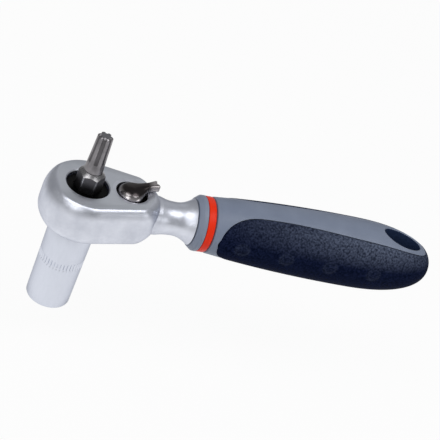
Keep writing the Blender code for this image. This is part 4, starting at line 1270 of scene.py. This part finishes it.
def dress_kept_parts():
    for name, material in (
        ("cover_plate", CHROME),
        ("cover_snap_ring", SPRING_STEEL),
        ("gear_friction_washer", SPRING_STEEL),
        ("drive_gear", GEAR_OXIDE_AND_SHADE),
        ("gear_dust_seal", SEAL_RUBBER_AND_HOLE_SHADE),
        ("bit_magnet", SPRING_STEEL),
        ("detent_ball", SPRING_STEEL),
        ("detent_spring", SPRING_STEEL),
        ("pawl", BIT_STEEL),
        ("lever_snap_ring", SPRING_STEEL),
        ("pawl_plunger", BIT_STEEL),
    ):
        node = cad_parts[name]
        node.data.materials.clear()
        node.data.materials.append(material)


# Studio


FLOOR_Z = -0.013
FLOOR_HALF_WIDTH = 3.0
PAPER = (0.80, 0.80, 0.80, 1.0)

# How much of the shadow the eye sees, and how the mirrored floor fades with distance
SHADOW_SHARE = 0.06
POOL_NEAR = 0.10
POOL_FAR = 0.38
POOL_FAR_SHARE = 0.42
SKY = (0.98, 0.99, 1.0, 1.0)
SKY_STRENGTH = 0.30

# The camera that was fitted to the photograph
CAMERA_PLACE = (-0.14533, -0.31666, 0.27050)
CAMERA_RIGHT = (0.92972, -0.15704, 0.33311)
CAMERA_BACK = (-0.33018, -0.75607, 0.56510)
CAMERA_LENS = 130.91
SENSOR_WIDTH = 36.0

# Lamps as (name, place, aim, width, depth, power)
LAMPS = (
    ("left_softbox", (-0.36, -0.22, 0.70), (-0.02, 0.0, 0.03), 0.42, 0.40, 1.55),
    ("right_softbox", (0.24, -0.22, 0.70), (0.0, 0.0, 0.03), 0.42, 0.40, 1.55),
    ("front_softbox", (-0.45, -0.55, 0.35), (0.0, 0.0, 0.03), 0.35, 0.35, 0.8),
    ("right_card", (0.50, -0.40, 0.14), (-0.02, 0.0, 0.03), 0.30, 0.24, 0.3),
    ("back_softbox", (0.28, 0.75, 0.52), (0.0, 0.0, 0.03), 0.90, 0.55, 0.38),
)


def either(tree, share, first, second):
    """Runs from one shader to another by a share."""
    mix = tree.nodes.new("ShaderNodeMixShader")
    if isinstance(share, float):
        mix.inputs["Fac"].default_value = share
    else:
        tree.links.new(share, mix.inputs["Fac"])
    tree.links.new(first, mix.inputs[1])
    tree.links.new(second, mix.inputs[2])
    return mix.outputs["Shader"]


def show_floor():
    shell = bmesh.new()
    bmesh.ops.create_grid(shell, x_segments=1, y_segments=1, size=FLOOR_HALF_WIDTH)
    floor = held("studio_floor", moved(shell, Matrix.Translation((0.0, 0.0, FLOOR_Z))))
    material = bpy.data.materials.new("floor_paper")
    material.use_nodes = True
    tree = material.node_tree
    tree.nodes.clear()
    out = tree.nodes.new("ShaderNodeOutputMaterial")
    paper = filled(tree.nodes.new("ShaderNodeBsdfDiffuse"), {"Color": PAPER})
    glow = tree.nodes.new("ShaderNodeEmission")
    shaded = either(tree, SHADOW_SHARE, glow.outputs["Emission"], paper.outputs["BSDF"])
    path = tree.nodes.new("ShaderNodeLightPath").outputs
    mirrored = reckoned(material, "MAXIMUM", path["Is Glossy Ray"], path["Is Transmission Ray"])
    reach = tree.nodes.new("ShaderNodeVectorMath")
    reach.operation = "LENGTH"
    tree.links.new(own_place(material), reach.inputs[0])
    fade = ranged(material, reach.outputs["Value"], 1.0, POOL_FAR_SHARE, POOL_NEAR, POOL_FAR)
    pool = tree.nodes.new("ShaderNodeEmission")
    tree.links.new(fade, pool.inputs["Strength"])
    unseen = either(tree, mirrored, paper.outputs["BSDF"], pool.outputs["Emission"])
    tree.links.new(either(tree, path["Is Camera Ray"], unseen, shaded), out.inputs["Surface"])
    floor.data.materials.append(material)


def light_world():
    world = bpy.data.worlds.new("studio")
    bpy.context.scene.world = world
    world.use_nodes = True
    tree = world.node_tree
    tree.nodes.clear()
    out = tree.nodes.new("ShaderNodeOutputWorld")
    soft = filled(tree.nodes.new("ShaderNodeBackground"), {"Color": SKY, "Strength": SKY_STRENGTH})
    white = filled(tree.nodes.new("ShaderNodeBackground"), {"Color": (*EVEN, 1.0)})
    seen = tree.nodes.new("ShaderNodeLightPath").outputs["Is Camera Ray"]
    sky = either(tree, seen, soft.outputs["Background"], white.outputs["Background"])
    tree.links.new(sky, out.inputs["Surface"])


def add_lamp(name, place, aim, width, depth, power):
    lamp = bpy.data.lights.new(name, "AREA")
    lamp.shape = "RECTANGLE"
    lamp.size = width
    lamp.size_y = depth
    lamp.energy = power
    item = bpy.data.objects.new(name, lamp)
    item.location = place
    way = Vector(aim) - Vector(place)
    item.rotation_euler = way.to_track_quat("-Z", "Y").to_euler()
    PARTS.objects.link(item)


def set_camera():
    data = bpy.data.cameras.new("photo_camera")
    data.sensor_width = SENSOR_WIDTH
    data.lens = CAMERA_LENS
    data.clip_start = 0.01
    camera = bpy.data.objects.new("photo_camera", data)
    right = Vector(CAMERA_RIGHT).normalized()
    back = Vector(CAMERA_BACK).normalized()
    up = back.cross(right).normalized()
    turn = Matrix((right, up, back)).transposed().to_4x4()
    camera.matrix_world = Matrix.Translation(CAMERA_PLACE) @ turn
    PARTS.objects.link(camera)
    bpy.context.scene.camera = camera


set_camera()
build_head()
build_lever()
build_pawl_spring()
build_socket()
build_bit()
build_collar_and_ring()
build_core()
build_sleeve()
dress_kept_parts()
show_floor()
light_world()
for lamp in LAMPS:
    add_lamp(*lamp)
bpy.context.scene.view_settings.view_transform = "Standard"
